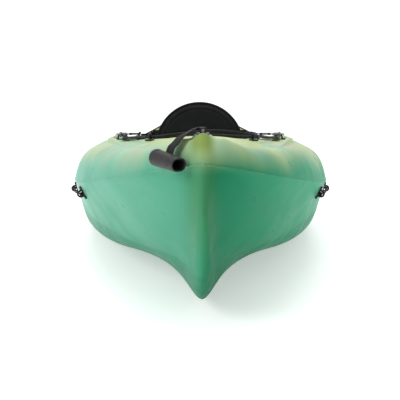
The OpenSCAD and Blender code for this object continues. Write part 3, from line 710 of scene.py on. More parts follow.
def station_list():
    # close together at the ends and down the wells' walls
    marks = [0, 6, 14, 24, 36, 50, 66, 84, 104, 126]
    s = list(marks)
    walls = [(925, 982), (1325, 1505), (1872, 1930), (2024, 2082), (2668, 2726)]
    at = 126.0
    while at < LENGTH - 130:
        at += 4.5 if any(a - 4 <= at <= b + 4 for a, b in walls) else 11.0
        s.append(at)
    s += [LENGTH - m for m in reversed(marks)]
    return np.array(sorted(v for v in s if 0 <= v <= LENGTH), float)


def lip_profile(s):
    # (x, z) of the raised lip, from its outer foot to its inner foot
    r, i, d, l = deck_out(s), deck_in(s), deck_edge_at(s), lip_at(s)
    rows = []
    for w in np.linspace(0, 1, 15)[1:]:
        rise = ramp(w, 0.0, 0.24) * (1 - ramp(w, 0.70, 1.0))
        rows.append(np.stack([mix(r, i, w), d + l * rise], -1))
    return rows


DECK_U = np.concatenate([np.linspace(*span) for span in (
    (0.985, 0.875, 8), (0.862, 0.795, 14), (0.77, 0.36, 16), (0.335, 0.255, 12), (0.235, 0.0, 9))])
PAD_SINK = 0.05


def heel_steps(s, u):
    # moulded foot rests: raised steps along the outer side of each footwell
    inside = in_well(s, u, 960, 1500) * ramp(u, 0.60, 0.68)
    wave = 0.5 + 0.5 * np.cos((s - 1010) * 2 * math.pi / 62)
    return 16 * inside * (1 - ramp(s, 1230, 1300)) * ramp(wave, 0.35, 0.7)


def floor_ribs(s, u, x):
    tank = in_well(s, u, 2040, 2710)
    rib = ramp(np.cos(x * 2 * math.pi / 46), 0.15, 0.65)
    ribs = 5.0 * tank * ramp(s, 2085, 2110) * (1 - ramp(s, 2650, 2675)) * rib
    ribs = ribs * (1 - ramp(np.abs(x), 96, 104))
    foot = in_well(s, u, 960, 1400) * (1 - console_here(s, u))
    tread = 1.6 * foot * ramp(np.cos(s * 2 * math.pi / 17), 0.0, 0.6)
    tread = tread * ramp(s, 1000, 1020) * (1 - ramp(s, 1270, 1300))
    return ribs + tread * (1 - ramp(u, 0.60, 0.64)) * ramp(u, 0.36, 0.40)


def stadium_distance(px, py, at, turn, long, wide):
    # distance outside a stadium that lies along its own X
    c, s = math.cos(math.radians(turn)), math.sin(math.radians(turn))
    dx, dy = px - at[0], py - at[1]
    a, b = dx * c + dy * s, -dx * s + dy * c
    a = np.maximum(np.abs(a) - (long - wide) / 2, 0)
    return np.hypot(a, b) - wide / 2


def raise_pads(px, py, z):
    for at, turn in deck_eyes:
        d = stadium_distance(px, py, at, turn, 44, 21)
        z = mix(z, at[2] - PAD_SINK, 1 - ramp(d, 0.0, 7.0))
    for h in HANDLES:
        top = deck_z(np.float64(h), 0.0) + 2 * PAD_RISE
        d = stadium_distance(px, py, (0, fore_aft(h)), 90, 64, 32)
        z = mix(z, top - PAD_SINK, 1 - ramp(d, 0.0, 6.0))
    d = np.hypot(px, py - fore_aft(DRAIN)) - 26
    z = mix(z, deck_point(DRAIN, 0.0, 1)[2] - PAD_SINK, 1 - ramp(d, 0.0, 8.0))
    return z


def full_rows(halves):
    # halves: list over lines of (stations, 2), from the gunwale to the centre
    other = [np.stack([-h[:, 0], h[:, 1]], -1) for h in reversed(halves[:-1])]
    return np.stack(halves + other, 1)


def stem_cap(x, s, z):
    # a rounded ridge closes the stem ahead of the handle
    near = 1 - ramp(s, 30, 54)
    top = ramp(z, 372, 396)
    return near * top * (13 * np.exp(-((np.abs(x) / 15.0) ** 3)) - 7)


def skin(name, halves, s, up):
    rows = full_rows(halves)
    n, w, _ = rows.shape
    x, z = rows[..., 0], rows[..., 1]
    ss = np.repeat(s[:, None], w, 1)
    y = fore_aft(ss) + end_round(ss, z)
    if up:
        z = raise_pads(x, y, z) + stem_cap(x, ss, z)
    co = np.stack([x, y, z], -1).reshape(-1, 3)
    obj = new_mesh(name, co, grid_faces(n, w, flip=up))
    with edited(obj) as bm:
        ends = [v for v in bm.verts if abs(v.co.x) < 1e-6]
        bmesh.ops.remove_doubles(bm, verts=ends, dist=2e-5)
        bmesh.ops.dissolve_degenerate(bm, edges=bm.edges, dist=1e-6)
    shade_smooth(obj.data)
    return obj


def round_holes(obj, holes):
    # opens a clean round hole where a vertical tube passes; (x, y, radius, low, high) in mm
    with edited(obj) as bm:
        for hx, hy, r, low, high in holes:
            c = Vector((hx, hy)) * 0.001
            r *= 0.001
            level = [v for v in bm.verts if low * 0.001 < v.co.z < high * 0.001]
            near = [v for v in level if (v.co.xy - c).length < r * 1.9]
            faces = {f for v in near for f in v.link_faces}
            gone = [f for f in faces if all((v.co.xy - c).length < r + 0.0022 for v in f.verts)]
            if not gone:
                continue
            rim = {v for f in gone for v in f.verts}
            bmesh.ops.delete(bm, geom=gone, context="FACES")
            for v in rim:
                if v.is_valid and v.link_faces and (v.co.xy - c).length > 1e-6:
                    v.co.xy = c + (v.co.xy - c).normalized() * r
    shade_smooth(obj.data)


def make_hull():
    s = station_list()
    b, g, d, r = beam_at(s), gunwale_at(s), deck_edge_at(s), deck_out(s)
    bends = (b, g), (mix(r, b, 0.9), mix(g, d, 0.5)), (mix(r, b, 0.45), mix(g, d, 0.92)), (r, d)
    shoulder = [np.stack(q, -1) for q in bends]
    halves = [curve(shoulder, t) for t in np.linspace(0, 1, 17)] + lip_profile(s)
    for u in DECK_U:
        x = u * deck_in(s)
        z = deck_z(s, u) + heel_steps(s, u) + floor_ribs(s, u, x)
        halves.append(np.stack([x, z], -1))
    deck = skin("deck_skin", halves, s, True)
    points = bottom_points(s)
    ts = np.concatenate([np.linspace(0, 0.5, 25), np.linspace(0.52, 1, 25)])
    bottom = skin("bottom_skin", [curve(points, t) for t in ts], s, False)
    holes = []
    for hs, u, floor in SCUPPERS:
        for side in (-1, 1):
            x = side * u * float(deck_in(np.float64(hs)))
            holes.append((x, fore_aft(hs), 17.0, floor - 8, floor + 12))
    round_holes(deck, holes)
    round_holes(bottom, [(x, y, r, -5, 12) for x, y, r, _, _ in holes])
    settle(deck, M_HULL, "hull", "deck_shell")
    settle(bottom, M_HULL, "hull", "hull_bottom_shell")


make_hull()


def make_seam():
    # the ridge that the mould's parting line leaves round the gunwale
    ends = np.array([1.5, 4, 8, 14, 22])
    s = np.concatenate([ends, np.arange(34, LENGTH - 30, 14.0), LENGTH - ends[::-1]])
    rng = np.random.default_rng(7)
    wander = np.interp(s, np.linspace(0, LENGTH, 46), rng.normal(0, 0.7, 46))
    line = np.stack([beam_at(s) - 0.6, fore_aft(s), gunwale_at(s) + wander], -1)
    loop = np.vstack([line, line[::-1] * np.array([-1, 1, 1])])
    radius = 1.9 + np.interp(np.arange(len(loop)), np.linspace(0, len(loop), 90), rng.uniform(-0.5, 0.5, 90))
    ridge = tube("parting_ridge", np.vstack([loop, loop[:1]]), np.append(radius, radius[0]), 10, cap=False)
    settle(ridge, M_HULL, "hull")


make_seam()

# ---------------------------------------------------------------- bungee cords


def eye_pass(eye, way):
    at, turn = eye
    a = math.radians(turn)
    c = np.asarray(at) + (0, 0, CORD_OVER)
    t = way * np.array([-math.sin(a), math.cos(a), 0])
    back = -np.sign(c[0]) * np.array([math.cos(a), math.sin(a), 0])
    return [c - 11 * t + 13 * back, c - 9 * t, c + 9 * t, c + 11 * t + 13 * back]


def crossing(a, b, over):
    out = []
    for m in (0.36, 0.5, 0.64):
        p = mix(np.asarray(a), np.asarray(b), m)
        s = np.float64(p[1] + HALF * 1000)
        out.append(np.array([p[0], p[1], deck_edge_at(s) + deck_crown(s) + over - 20 * abs(m - 0.5)]))
    return out


def overhand(at, size, first, axis):
    # a small overhand knot: the cord crosses over itself three times
    axis = unit(np.asarray(axis, float))
    first = unit(np.asarray(first, float) - axis * np.dot(first, axis))
    t = np.linspace(0, 2 * math.pi, 61)[:, None]
    x, y, z = np.sin(t) + 2 * np.sin(2 * t), np.cos(t) - 2 * np.cos(2 * t), -np.sin(3 * t)
    return at + size / 3 * (x * first + y * axis * 0.8 + 1.5 * z * np.cross(axis, first))


def knot_piece(name, at, r, size, first, axis, tail):
    at, tail = np.asarray(at), np.asarray(tail, float)
    body = tube(name, overhand(at, size, first, axis), r, 12)
    end = tube(name + "_tail", smooth_line([at, at + 0.5 * tail, at + tail], 8), r, 12)
    rings = [at + tail + k * unit(tail) for k in (-2, 0, 1.2, 2.0)]
    cap = tube(name + "_end", rings, [r, r * 1.12, r * 0.95, r * 0.35], 12)
    return [body, end, cap]


def laced(eyes, knot, way, low, high):
    return (
        [knot, knot + np.array([-8, 6 * way, 0])]
        + eye_pass(eyes[1], way)
        + eye_pass(eyes[0], way)
        + crossing(eyes[0][0], eyes[3][0], high)
        + eye_pass(eyes[3], way)
        + eye_pass(eyes[2], way)
        + crossing(eyes[2][0], knot, low)
        + [knot + np.array([14, 12 * way, 1]), knot]
    )


def lace_deck(name, node, eyes, knot, way):
    line = bspline_line(laced(eyes, knot, way, 8, 17), 10)
    parts = [tube(name, line, CORD_R, 16)]
    x, y, _ = unit(knot - eyes[1][0])
    parts += knot_piece(name + "_knot", knot, 2.7, 6.6, (x, y, 0), (-y, x, 0.2), (6 * -y, 6, 13))
    settle(join(name, parts), M_CORD, "hull", node)


lace_deck("foredeck_lace", "foredeck_bungee", fore_eyes, fore_eyes[1][0] + np.array([36, -38, 11]), -1)
lace_deck("tank_lace", "tank_bungee", tank_eyes, tank_eyes[1][0] + np.array([36, 38, 11]), 1)


def keeper(name, side):
    ways = [flank_way(s, t, side) for s, t in KEEPERS]
    seats = [flank_point(s, t, side) + 1.5 * w for (s, t), w in zip(KEEPERS, ways)]
    a, b = (q + CORD_OVER * w for q, w in zip(seats, ways))
    m = flank_point(955, 0.05, side) + 9.5 * flank_way(955, 0.05, side)
    d = unit(b - a)
    line = bspline_line([a - 17 * d, a + 6 * d, 2 * m - (a + b) / 2, b - 6 * d, b + 17 * d], 22)
    parts = [tube(name, line, 2.5, 16)]
    for at, way, w in ((line[0], -d, ways[0]), (line[-1], d, ways[1])):
        parts += knot_piece(name + "_knot", at, 2.2, 5.0, way, w, 11 * way + np.array([0, 0, -4]) + 3 * w)
    settle(join(name, parts), M_CORD, "hull", name.replace("_cord", "_bungee"))


keeper("left_keeper_cord", -1)
keeper("right_keeper_cord", 1)

# ---------------------------------------------------------------- padded seat


PAD_VOXEL = 0.0048
SWELL_FRAMES = 20


def loft(name, sections):
    # closed: each section is a loop of points of the same length
    n = len(sections[0])
    faces = end_caps(grid_faces(len(sections), n, wrap=True), len(sections), n)
    return fix_normals(new_mesh(name, np.concatenate(sections), faces))


def rounded_loop(half_x, half_y, corner, count=14):
    out = []
    for cx, cy, a0 in ((1, 1, 0), (-1, 1, 90), (-1, -1, 180), (1, -1, 270)):
        for a in np.radians(np.linspace(a0, a0 + 90, count, endpoint=False)):
            x, y = cx * (half_x - corner), cy * (half_y - corner)
            out.append((x + corner * math.cos(a), y + corner * math.sin(a)))
    return np.array(out)


def voxel(obj):
    mod = obj.modifiers.new("remesh", "REMESH")
    mod.mode = "VOXEL"
    mod.voxel_size = PAD_VOXEL
    apply_all(obj)
    shade_smooth(obj.data)


def apply_all(obj):
    bpy.context.view_layer.update()
    deps = bpy.context.evaluated_depsgraph_get()
    me = bpy.data.meshes.new_from_object(obj.evaluated_get(deps))
    obj.modifiers.clear()
    old = obj.data
    obj.data = me
    bpy.data.meshes.remove(old)


def points_of(obj):
    return np.array([v.co for v in obj.data.vertices])


def move_to(obj, points):
    obj.data.vertices.foreach_set("co", points.ravel())
    obj.data.update()


def swell(obj, cap, hold=None):
    # the padding pushes the cover out; no point moves further than cap metres
    before = points_of(obj)
    if hold is not None:
        group = obj.vertex_groups.new(name="held")
        for i, w in enumerate(hold(before)):
            if w > 0:
                group.add([i], float(w), "REPLACE")
    cloth = obj.modifiers.new("cloth", "CLOTH")
    st = cloth.settings
    st.quality = 5
    st.mass = 0.25
    st.use_pressure = True
    st.uniform_pressure_force = 4.0
    st.tension_stiffness = st.compression_stiffness = 22
    st.shear_stiffness = 12
    st.bending_stiffness = 1.5
    st.effector_weights.gravity = 0
    if hold is not None:
        st.vertex_group_mass = "held"
    cloth.collision_settings.use_collision = False
    scene = bpy.context.scene
    for f in range(1, SWELL_FRAMES + 1):
        scene.frame_set(f)
    apply_all(obj)
    move = points_of(obj) - before
    d = np.linalg.norm(move, axis=1)
    move *= (np.minimum(d, cap) / np.maximum(d, 1e-9))[:, None]
    move_to(obj, before + move)
    scene.frame_set(1)


def subdivide(obj):
    mod = obj.modifiers.new("smooth", "SUBSURF")
    mod.levels = mod.render_levels = 1
    apply_all(obj)
    shade_smooth(obj.data)


def press(obj, offset):
    # moves every point along its normal by offset(positions), all in millimetres
    co = points_of(obj)
    no = np.array([v.normal for v in obj.data.vertices])
    move_to(obj, co + no * offset(co * 1000)[:, None] * 0.001)


def groove(d, width, depth):
    return -depth * np.exp(-((d / width) ** 2))


LEAN = math.radians(8)
PIVOT = np.array([0, 350.0, 126.0])
DISC_UP = 123


def leaned(p):
    # from the seat back's own frame (x, back, up) to the row frame
    p = np.asarray(p, float)
    c, s = math.cos(LEAN), math.sin(LEAN)
    y, z = p[..., 1], p[..., 2]
    return np.stack([p[..., 0], PIVOT[1] + c * y + s * z, PIVOT[2] - s * y + c * z], -1)


def leaned_way(v):
    return leaned(v) - leaned(np.zeros(3))


def unleaned(q):
    c, s = math.cos(LEAN), math.sin(LEAN)
    y, z = q[..., 1] - PIVOT[1], q[..., 2] - PIVOT[2]
    return np.stack([q[..., 0], c * y - s * z, s * y + c * z], -1)


def in_back(x, z):
    # a round top over a wide, low body with round corners
    corner = 40
    ax, az = abs(x) - (193 - corner), abs(z - 70) - (79 - corner)
    in_box = math.hypot(ax, az) < corner if (ax > 0 and az > 0) else (ax < corner and az < corner)
    return in_box or math.hypot(x, z - DISC_UP) < 163


def back_outline(count):
    out = []
    for k in range(count):
        a = 2 * math.pi * k / count + math.pi / 2
        # halves its way to the edge along each ray from the middle
        lo, hi = 0.0, 320.0
        for _ in range(26):
            mid = (lo + hi) / 2
            if in_back(mid * math.cos(a), 70 + mid * math.sin(a)):
                lo = mid
            else:
                hi = mid
        out.append((lo * math.cos(a), 70 + lo * math.sin(a)))
    out = np.array(out)
    # eases the notch where the two shapes meet
    for _ in range(7):
        out = 0.5 * out + 0.25 * (np.roll(out, 1, 0) + np.roll(out, -1, 0))
    return out


def loop_at(outline, y):
    return np.stack([outline[:, 0], np.full(len(outline), y), outline[:, 1]], -1)


def inset(outline, d):
    t = np.roll(outline, -1, 0) - np.roll(outline, 1, 0)
    n = np.stack([-t[:, 1], t[:, 0]], -1)
    n /= np.linalg.norm(n, axis=1)[:, None]
    if np.dot(n[0], outline[0] - outline.mean(0)) > 0:
        n = -n
    return outline + d * n


def make_back():
    edge = back_outline(200)
    steps = [(-12.5, 26), (-13, 12), (-11, 4), (-7, 0.5), (0, 0), (5, 0.5), (8, 5), (9, 14), (9, 26)]
    rows = [leaned(loop_at(inset(edge, d), y)) for y, d in steps]
    pad = loft("seat_back_pad", rows)
    voxel(pad)
    swell(pad, 0.0055)
    subdivide(pad)

    def sew(co):
        x, y, z = unleaned(co).T
        front = clamp01((4 - y) / 8)
        rear = clamp01((y - 2) / 5)
        # one curved seam follows the rim inside the binding; the panel inside has three sewn channels
        rim = np.hypot(x, np.minimum(z - DISC_UP, 0) * 0.45 + np.maximum(z - DISC_UP, 0)) - 138
        d = groove(rim, 2.6, 3.2)
        inner = clamp01((138 - np.hypot(x, (z - 118))) / 12)
        for zz in (70, 124, 178):
            d += inner * groove(z + 0.0009 * x * x - zz, 2.4, 3.4)
        d += 0.125 * np.sin(z / 9 + 1.7 * np.sin(x / 31)) * inner
        creases = np.sin(x / 17 + 2 * np.sin(z / 23)) * np.sin(z / 13) * 0.45
        d = d * front + creases * (0.7 * front + 0.3)
        return d + rear * groove(rim + 4, 2.4, 2.2)

    press(pad, sew)
    q = unleaned(points_of(pad) * 1000)
    q[:, 1] = np.clip(q[:, 1], -17, 12)
    move_to(pad, leaned(q) * 0.001)
    settle(pad, M_PAD, "seat_back", "seat_back")
    # a woven binding folds over the cut edges all the way round
    edge = back_outline(240)
    loop = leaned(loop_at(np.vstack([edge, edge[:1]]), -2.0))
    tape = binding("seat_back_binding", loop, leaned_way((0, 1.0, 0)), 12.0, 3.0)
    settle(tape, M_BIND, "seat_back")


def binding(name, loop, side, wide, thick):
    # a U-shaped tape whose open side faces the middle of the loop
    n = len(loop)
    t = np.gradient(loop, axis=0)
    t[0] = t[-1] = loop[1] - loop[-2]
    side = unit(np.asarray(side, float))
    h = wide / 2
    shape = [(-6.5, -h + 0.4)]
    shape += [(0.9 * math.cos(a) * thick, h * math.sin(a)) for a in np.radians(np.linspace(-90, 90, 9))]
    shape += [(-6.5, h - 0.4), (-6.5, h - 1.4), (-1.0, h - 1.6), (0.6, 0), (-1.0, -h + 1.6), (-6.5, -h + 1.4)]
    verts, uvs = [], []
    dist = run_length(loop)
    centre = loop.mean(0)
    for k in range(n):
        out = np.cross(unit(t[k]), side)
        if np.dot(out, loop[k] - centre) < 0:
            out = -out
        for u, v in shape:
            verts.append(loop[k] + u * out + v * side)
            uvs.append((v * 0.001, dist[k] * 0.001))
    obj = new_mesh(name, verts, grid_faces(n, len(shape), wrap=True), uvs)
    with edited(obj) as bm:
        bmesh.ops.remove_doubles(bm, verts=bm.verts, dist=1e-6)
        bmesh.ops.recalc_face_normals(bm, faces=bm.faces)
    return obj


def make_base():
    cy = 166.0
    rows = []
    for z, d in ((92.4, 8), (93, 3), (96, 0.5), (104, 0), (111, 1), (115, 6), (116, 14)):
        loop = rounded_loop(156 - d, 154 - d, 44 - d * 0.6)
        rows.append(np.stack([loop[:, 0], loop[:, 1] + cy, np.full(len(loop), z)], -1))
    pad = loft("seat_pad", rows)
    voxel(pad)

    def hold(co):
        return np.where(co[:, 2] < 0.0935, 1.0, 0.0)

    swell(pad, 0.006, hold)
    subdivide(pad)

    def sew(co):
        x, y, z = co[:, 0], co[:, 1] - cy, co[:, 2]
        top = clamp01((z - 104) / 8)
        rim = np.maximum(np.abs(x) - 124, np.abs(y) - 122)
        d = groove(rim, 2.6, 3.6)
        inside = clamp01(-rim / 8)
        for off in (-82, -41, 0, 41, 82):
            d += inside * groove(y - off, 2.6, 3.8)
        # the seat is pressed in a little where it is sat on
        d -= 2.2 * np.exp(-((np.abs(x) - 62) ** 2) / 2400 - (y - 25) ** 2 / 5200)
        d += 0.35 * np.sin(x / 15 + 1.5 * np.sin(y / 19)) * np.sin(y / 11)
        return d * top

    press(pad, sew)
    co = points_of(pad)
    co[:, 2] = np.clip(co[:, 2], 0.0922, 0.1215)
    move_to(pad, co)
    settle(pad, M_PAD, "hull", "seat_base")
    loop = rounded_loop(156.5, 154.5, 44, 20)
    line = np.stack([loop[:, 0], loop[:, 1] + cy, np.full(len(loop), 103.5)], -1)
    line = np.vstack([line, line[:1]])
    settle(binding("seat_pad_binding", line, (0, 0, 1), 12.0, 2.6), M_BIND, "hull")


make_back()
make_base()

# ---------------------------------------------------------------- seat straps


HOOK_LONG = 30
STRAP_UP, REAR_STRAP_UP = 165.0, 174.0
UP_THE_BACK = leaned_way((0, 0, 1.0))


def on_back(side, places, up):
    # points on the rear of the seat back, each (out from the middle, back), at one height
    return [leaned((side * x, y, up)) for x, y in places]


def eye_top(eye):
    return np.asarray(eye[0]) + (0, 0, EYE_BASE + EYE_LEG + EYE_ARCH)


def hook_bar(eye, way):
    a = math.radians(eye[1] + way)
    return eye_top(eye) + HOOK_LONG * np.array([-math.sin(a), math.cos(a), 0])


def strap_path(bar, to, sewn):
    # round the hook's bar: the sewn-back end lies under the run to the seat back
    d = unit(to - bar)
    side = unit(np.cross(d, (0, 0, 1)))
    up = np.cross(side, d)
    r = 3.5
    out = [bar + sewn * d - 1.0 * up]
    for f in np.linspace(0.9, 0.25, 6):
        out.append(bar + sewn * f * d - (1.0 + 0.5 * (1 - f)) * up)
    for a in np.linspace(-62, -298, 13):
        g = math.radians(a)
        out.append(bar + r * (math.cos(g) * d + math.sin(g) * up))
    for f in np.linspace(0.25, 1.0, 6):
        out.append(bar + sewn * f * d + (1.0 + 0.5 * (1 - f)) * up)
    return out, d, side


def stitch_rows(name, centre, along, across, normal, long, wide, crossed=True):
    # raised thread: a box of stitches with a cross in it
    a, w, n = unit(np.asarray(along, float)), unit(np.asarray(across, float)), unit(np.asarray(normal, float))
    c = np.asarray(centre, float)
    corners = [c + sx * long / 2 * a + sy * wide / 2 * w for sx, sy in ((-1, -1), (1, -1), (1, 1), (-1, 1))]
    ends = [(0, 1), (1, 2), (2, 3), (3, 0)] + ([(0, 2), (1, 3)] if crossed else [])
    lines = [(corners[j], corners[k]) for j, k in ends]
    parts = []
    for p, q in lines:
        length = np.linalg.norm(q - p)
        count = max(2, int(length / 3.2))
        for k in range(count):
            u0, u1 = (k + 0.14) / count, (k + 0.86) / count
            mid = mix(p, q, (u0 + u1) / 2) + 0.55 * n
            line = [mix(p, q, u0) - 0.15 * n, mid, mix(p, q, u1) - 0.15 * n]
            parts.append(tube(name, smooth_line(line, 2), 0.36, 6))
    return join(name, parts)


def seat_strap(side, front):
    eye = seat_eyes[0 if side < 0 else 2] if front else seat_eyes[1 if side < 0 else 3]
    bar = hook_bar(eye, side * 10 if front else 180)
    name = ("left" if side < 0 else "right") + ("_front_strap" if front else "_rear_strap")
    if front:
        to = np.array([side * 192.0, 388, 291])
        head, d, w = strap_path(bar, to, 46)
        last = on_back(side, ((179.5, 16.5), (172, 16.4), (164, 16.4), (156, 16.4)), STRAP_UP)
    else:
        to = np.array([side * 128.0, 401, 300])
        head, d, w = strap_path(bar, to, 13)
        last = on_back(side, ((118, 17.2), (108, 14.4), (96, 13.4), (84, 13.4)), REAR_STRAP_UP)
    run = [mix(head[-1], to, f) for f in (0.3, 0.6, 0.9)]
    per = 6
    line = smooth_line(head + run + last, per)
    # flat at the hook, it turns upright where it is sewn to the back
    twist = ramp(np.arange(len(line)), (len(head) + 1.2) * per, len(line) - 3.0 * per)
    way = [unit(mix(w, UP_THE_BACK, f)) for f in twist]
    web = ribbon(name + "_web", line, way, 25 if front else 23, 1.7)
    place(web, M_WEB)
    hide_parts(name)
    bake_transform(web)
    face = unit(np.cross(w, d))
    if front:
        for k2 in (-1, 1):
            at = bar + 32 * d + k2 * 2.1 * face
            s = stitch_rows(name + "_stitch%d" % (k2 > 0), at, d, w, k2 * face, 18, 19)
            settle(s, M_THREAD, "hull")


for hand in (-1, 1):
    seat_strap(hand, True)
    seat_strap(hand, False)


def back_tabs():
    places = (138, 12.9), (150, 13.1), (162, 13.6), (172, 13.8), (177, 13.6)
    parts = []
    for side in (-1, 1):
        parts.append(ribbon("tab", smooth_line(on_back(side, places, STRAP_UP), 4), UP_THE_BACK, 38, 1.8))
    settle(join("seat_back_patches", parts), M_WEB, "seat_back", "seat_back_tabs")
    back = leaned_way((0, 1.0, 0))
    for side in (-1, 1):
        for name, x, y, up, wide, crossed in (
            ("patch_stitch", 146.0, 14.4, STRAP_UP, 31, False),
            ("end_stitch", 164.0, 17.5, STRAP_UP, 19, True),
            ("rear_stitch", 92.0, 14.5, REAR_STRAP_UP, 17, True),
        ):
            s = stitch_rows(name, leaned((side * x, y, up)), (1, 0, 0), UP_THE_BACK, back, 12, wide, crossed)
            settle(s, M_THREAD, "seat_back")


back_tabs()

# ---------------------------------------------------------------- carry handles


def handle_top(s):
    return np.array([0, fore_aft(s), float(deck_z(np.float64(s), 0.0)) + 2 * PAD_RISE])


def handle_frame(near, far):
    # the grip's own frame: x towards its top, y across its width, z along it
    z = unit(far - near)
    phi, theta = math.atan2(z[1], z[0]), math.acos(z[2])
    turn = Matrix.Rotation(phi, 3, "Z") @ Matrix.Rotation(theta, 3, "Y")
    return np.array(turn), (near + far) / 2


def stadium_point(long, wide, g):
    # a point of a stadium's outline, long axis along y, at turn g of 0..1, and the way out there
    straight, r = long - wide, wide / 2
    d = (g % 1) * (2 * straight + math.pi * wide)
    side = 1
    if d >= straight + math.pi * r:
        d -= straight + math.pi * r
        side = -1
    if d < straight:
        return side * np.array([r, d - straight / 2]), side * np.array([1.0, 0])
    way = np.array([math.cos((d - straight) / r), math.sin((d - straight) / r)])
    return side * (r * way + np.array([0, straight / 2])), side * way


GRIP_LONG, GRIP_WIDE, GRIP_THICK = 84.0, 33.0, 26.0
GRIP_END = 9.0
STRAP_DEEP = 2.6
PIN_UP = 9.6


def grip(name, near, far, body):
    turn, mid = handle_frame(near, far)
    sides = 96
    half = GRIP_LONG / 2
    loops = []
    # the bore, from its closed end out to the near end
    for z, bigger in ((half - 19.5, -8), (half - 20, -4), (half - 26, -1.2), (14 - half, 0), (1.3 - half, 0),
                      (0.5 - half, 0.6), (-half, 2)):
        points = [stadium_point(26.0 + bigger, 19.5 + bigger, k / sides)[0] for k in range(sides)]
        loops.append([(-x, y, z) for x, y in points])
    # the outer skin, from the near end to the far end, which is rounded and deeper
    zs = [-half, -half + 0.5, -half + 1.4] + list(np.linspace(-half + 2.6, half - GRIP_END, 92))
    zs += [half - GRIP_END + GRIP_END * math.sin(a) for a in np.linspace(0.12, math.pi / 2 * 0.985, 12)]
    for z in zs:
        edge = 1 - (1 - clamp01((z + half) / 2.2)) ** 2 * 0.05
        tail = clamp01((z - (half - GRIP_END)) / GRIP_END)
        edge *= math.sqrt(1 - tail**2.6)
        far_way = (z + half) / GRIP_LONG
        wide = GRIP_WIDE * mix(0.96, 1.0, far_way) * edge
        thick = GRIP_THICK * mix(0.98, 1.26, far_way) * edge
        loop = []
        for k in range(sides):
            p, n = stadium_point(max(wide, 0.8), max(thick, 0.6), k / sides)
            # rows of short slots across the broad faces near each end
            flat = clamp01((abs(n[0]) - 0.55) / 0.25)
            for at in (-33.4, -28.8, -24.2, 24.0, 28.6, 33.2):
                cut = math.exp(-(((z - at) / 1.15) ** 4)) * flat * clamp01((8.5 - abs(p[1])) / 1.2)
                p = p - n * 1.5 * cut
            loop.append((-p[0], p[1], z))
        loops.append(loop)
    obj = loft(name, [np.array(q) @ turn.T + mid for q in loops])
    settle(obj, M_GRIP, body, body + "_grip")


def handle_strap(name, s, near, far, bend, body):
    pin = handle_top(s) + np.array([0, 0, PIN_UP])
    turn, mid = handle_frame(near, far)
    axis, top, wide_way = turn[:, 2], -turn[:, 0], turn[:, 1]
    web = 2.0
    r = 3.1 + web / 2
    lead = np.array([0, 1.0, 0])
    if np.dot(axis, lead) < 0:
        axis = -axis
    # round the pin, from the sewn end under the strap, over the top and off towards the grip
    line = [pin + np.array([x, 0, r - web - 0.3]) for x in np.linspace(-20, -9, 5)]
    turns = np.radians(np.linspace(200, 450, 17))
    line += [pin + np.array([math.cos(g) * r, 0, math.sin(g) * r]) for g in turns]
    away = pin + np.array([-11, 0, r - 0.4])
    line.append(away)
    across = [lead] * len(line)
    for f in (0.35, 0.7):
        line.append(mix(away, bend, f) + np.array([0, 0, 1.5 * math.sin(math.pi * f)]))
        across.append(unit(mix(lead, axis, 0.5 * f)))
    line.append(bend)
    across.append(unit(mix(lead, axis, 0.6)))
    target = mid + top * (GRIP_THICK / 2 - STRAP_DEEP + 0.4 + web / 2)
    for f in (0.4, 0.75):
        line.append(mix(bend, target, f) + unit(bend - mid) * 3 * math.sin(math.pi * f))
        across.append(unit(mix(lead, axis, 0.6 + 0.4 * f)))
    # then through the slot in the grip's top and round inside it
    loop = []
    for g in np.linspace(0.0, 0.94, 34):
        p, _ = stadium_point(GRIP_WIDE - 2 * STRAP_DEEP - web, GRIP_THICK - 2 * STRAP_DEEP - web, g + 0.62)
        loop.append(mid + top * p[0] + wide_way * p[1])
    # whichever way round leaves the strap smoothly
    down = unit(target - bend)
    if np.dot(unit(loop[2] - loop[0]), down) < np.dot(unit(loop[-3] - loop[-1]), down):
        loop = loop[::-1]
    line += loop
    across += [axis] * len(loop)
    strap = ribbon(name, smooth_line(line, 4), smooth_line(across, 4), 25, web)
    settle(strap, M_WEB, body, body + "_strap")


# each grip's near and far ends, and where its strap bends over the hull's shoulder
BOW = np.array([(-44.0, -1496, 360), (-88.0, -1430, 368), (-43.0, -1448, 404)])
STERN = np.array([(-44.0, 1496, 291), (-88.0, 1430, 300), (-45.0, 1448, 340)])
for where, station, (near, far, bend) in (("bow", HANDLES[0], BOW), ("stern", HANDLES[1], STERN)):
    grip(where + "_grip_moulding", near, far, where + "_handle")
    handle_strap(where + "_carry_strap", station, near, far, bend, where + "_handle")

# ---------------------------------------------------------------- the CAD's own pieces


def finish_cad(names, mat, width=0.0, segments=2):
    for n in names.split():
        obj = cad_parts[n]
        place(obj, mat)
        shade_smooth(obj.data)
        if width:
            bev = obj.modifiers.new("edges", "BEVEL")
            bev.width = width
            bev.segments = segments
            bev.limit_method = "ANGLE"
            bev.angle_limit = math.radians(35)
        wn = obj.modifiers.new("normals", "WEIGHTED_NORMAL")
        wn.keep_sharp = True
        wn.weight = 60


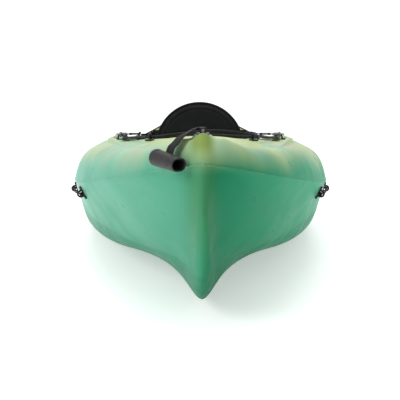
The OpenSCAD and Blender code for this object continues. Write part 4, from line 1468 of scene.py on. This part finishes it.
finish_cad("foredeck_pad_eyes tank_pad_eyes keeper_pad_eyes seat_pad_eyes", M_BLACK, 0.0004)
for screws_and_pins in (
    "foredeck_eye_screws tank_eye_screws keeper_eye_screws seat_eye_screws",
    "bow_handle_screws stern_handle_screws drain_screws",
    "bow_handle_pin stern_handle_pin seat_rod",
):
    finish_cad(screws_and_pins, M_STEEL, 0.0002, 1)
finish_cad("front_snap_hooks rear_snap_hooks", M_STEEL)
finish_cad("bow_handle_anchor stern_handle_anchor", M_BLACK, 0.0007)
finish_cad("seat_rod_brackets strap_adjusters", M_BLACK, 0.0007)
finish_cad("drain_flange drain_plug", M_BLACK, 0.0004)
finish_cad("seat_back_shell", M_PAD_BACK, 0.0012, 3)
finish_cad("bow_foam stern_foam", M_FOAM, 0.004, 3)
finish_cad("scupper_tubes", M_HULL, 0.0006)
finish_cad("drain_seal", M_SEAL)

# ---------------------------------------------------------------- stage and light


def make_stage():
    n = Nodes("stage_white")
    o = n.coords()
    n.set(Base_Color=n.blend(n.noise(o, 1.2, 2.0), (0.93, 0.93, 0.93), (0.95, 0.95, 0.95)), Roughness=0.95)
    n.set(Emission_Color=(1.0, 1.0, 1.0), Emission_Strength=0.42)
    bend = [(6 + 3 * math.sin(a), 3 - 3 * math.cos(a)) for a in np.linspace(0.15, math.pi / 2, 12)]
    prof = [(-40.0, 0.0), (6.0, 0.0)] + bend + [(9.0, 14.0)]
    verts = [(x, y, z - 0.0002) for y, z in prof for x in (-40, -20, 0, 20, 40)]
    floor = new_mesh("stage_floor", verts, grid_faces(len(prof), 5, flip=True), scale=1.0)
    place(floor, n.mat)


make_stage()


def area_light(name, at, look, size, power):
    data = bpy.data.lights.new(name, "AREA")
    data.shape = "RECTANGLE"
    data.size, data.size_y = size
    data.energy = power
    obj = bpy.data.objects.new(name, data)
    link(obj)
    obj.location = at
    way = Vector(look) - Vector(at)
    obj.rotation_euler = way.to_track_quat("-Z", "Y").to_euler()


area_light("key", (-3.4, -4.6, 2.6), (0, -1.0, 0.25), (2.2, 2.2), 120)
area_light("fill", (3.6, -4.2, 2.0), (0, -1.0, 0.25), (2.6, 2.6), 14)
area_light("top", (0, -0.4, 4.2), (0, -0.2, 0), (3.4, 4.4), 105)

world = bpy.data.worlds.new("world")
bpy.context.scene.world = world
world.use_nodes = True
world.node_tree.nodes["Background"].inputs[0].default_value = (1, 1, 1, 1)
world.node_tree.nodes["Background"].inputs[1].default_value = 0.52
bpy.context.scene.view_settings.view_transform = "Standard"
bpy.context.scene.view_settings.look = "None"
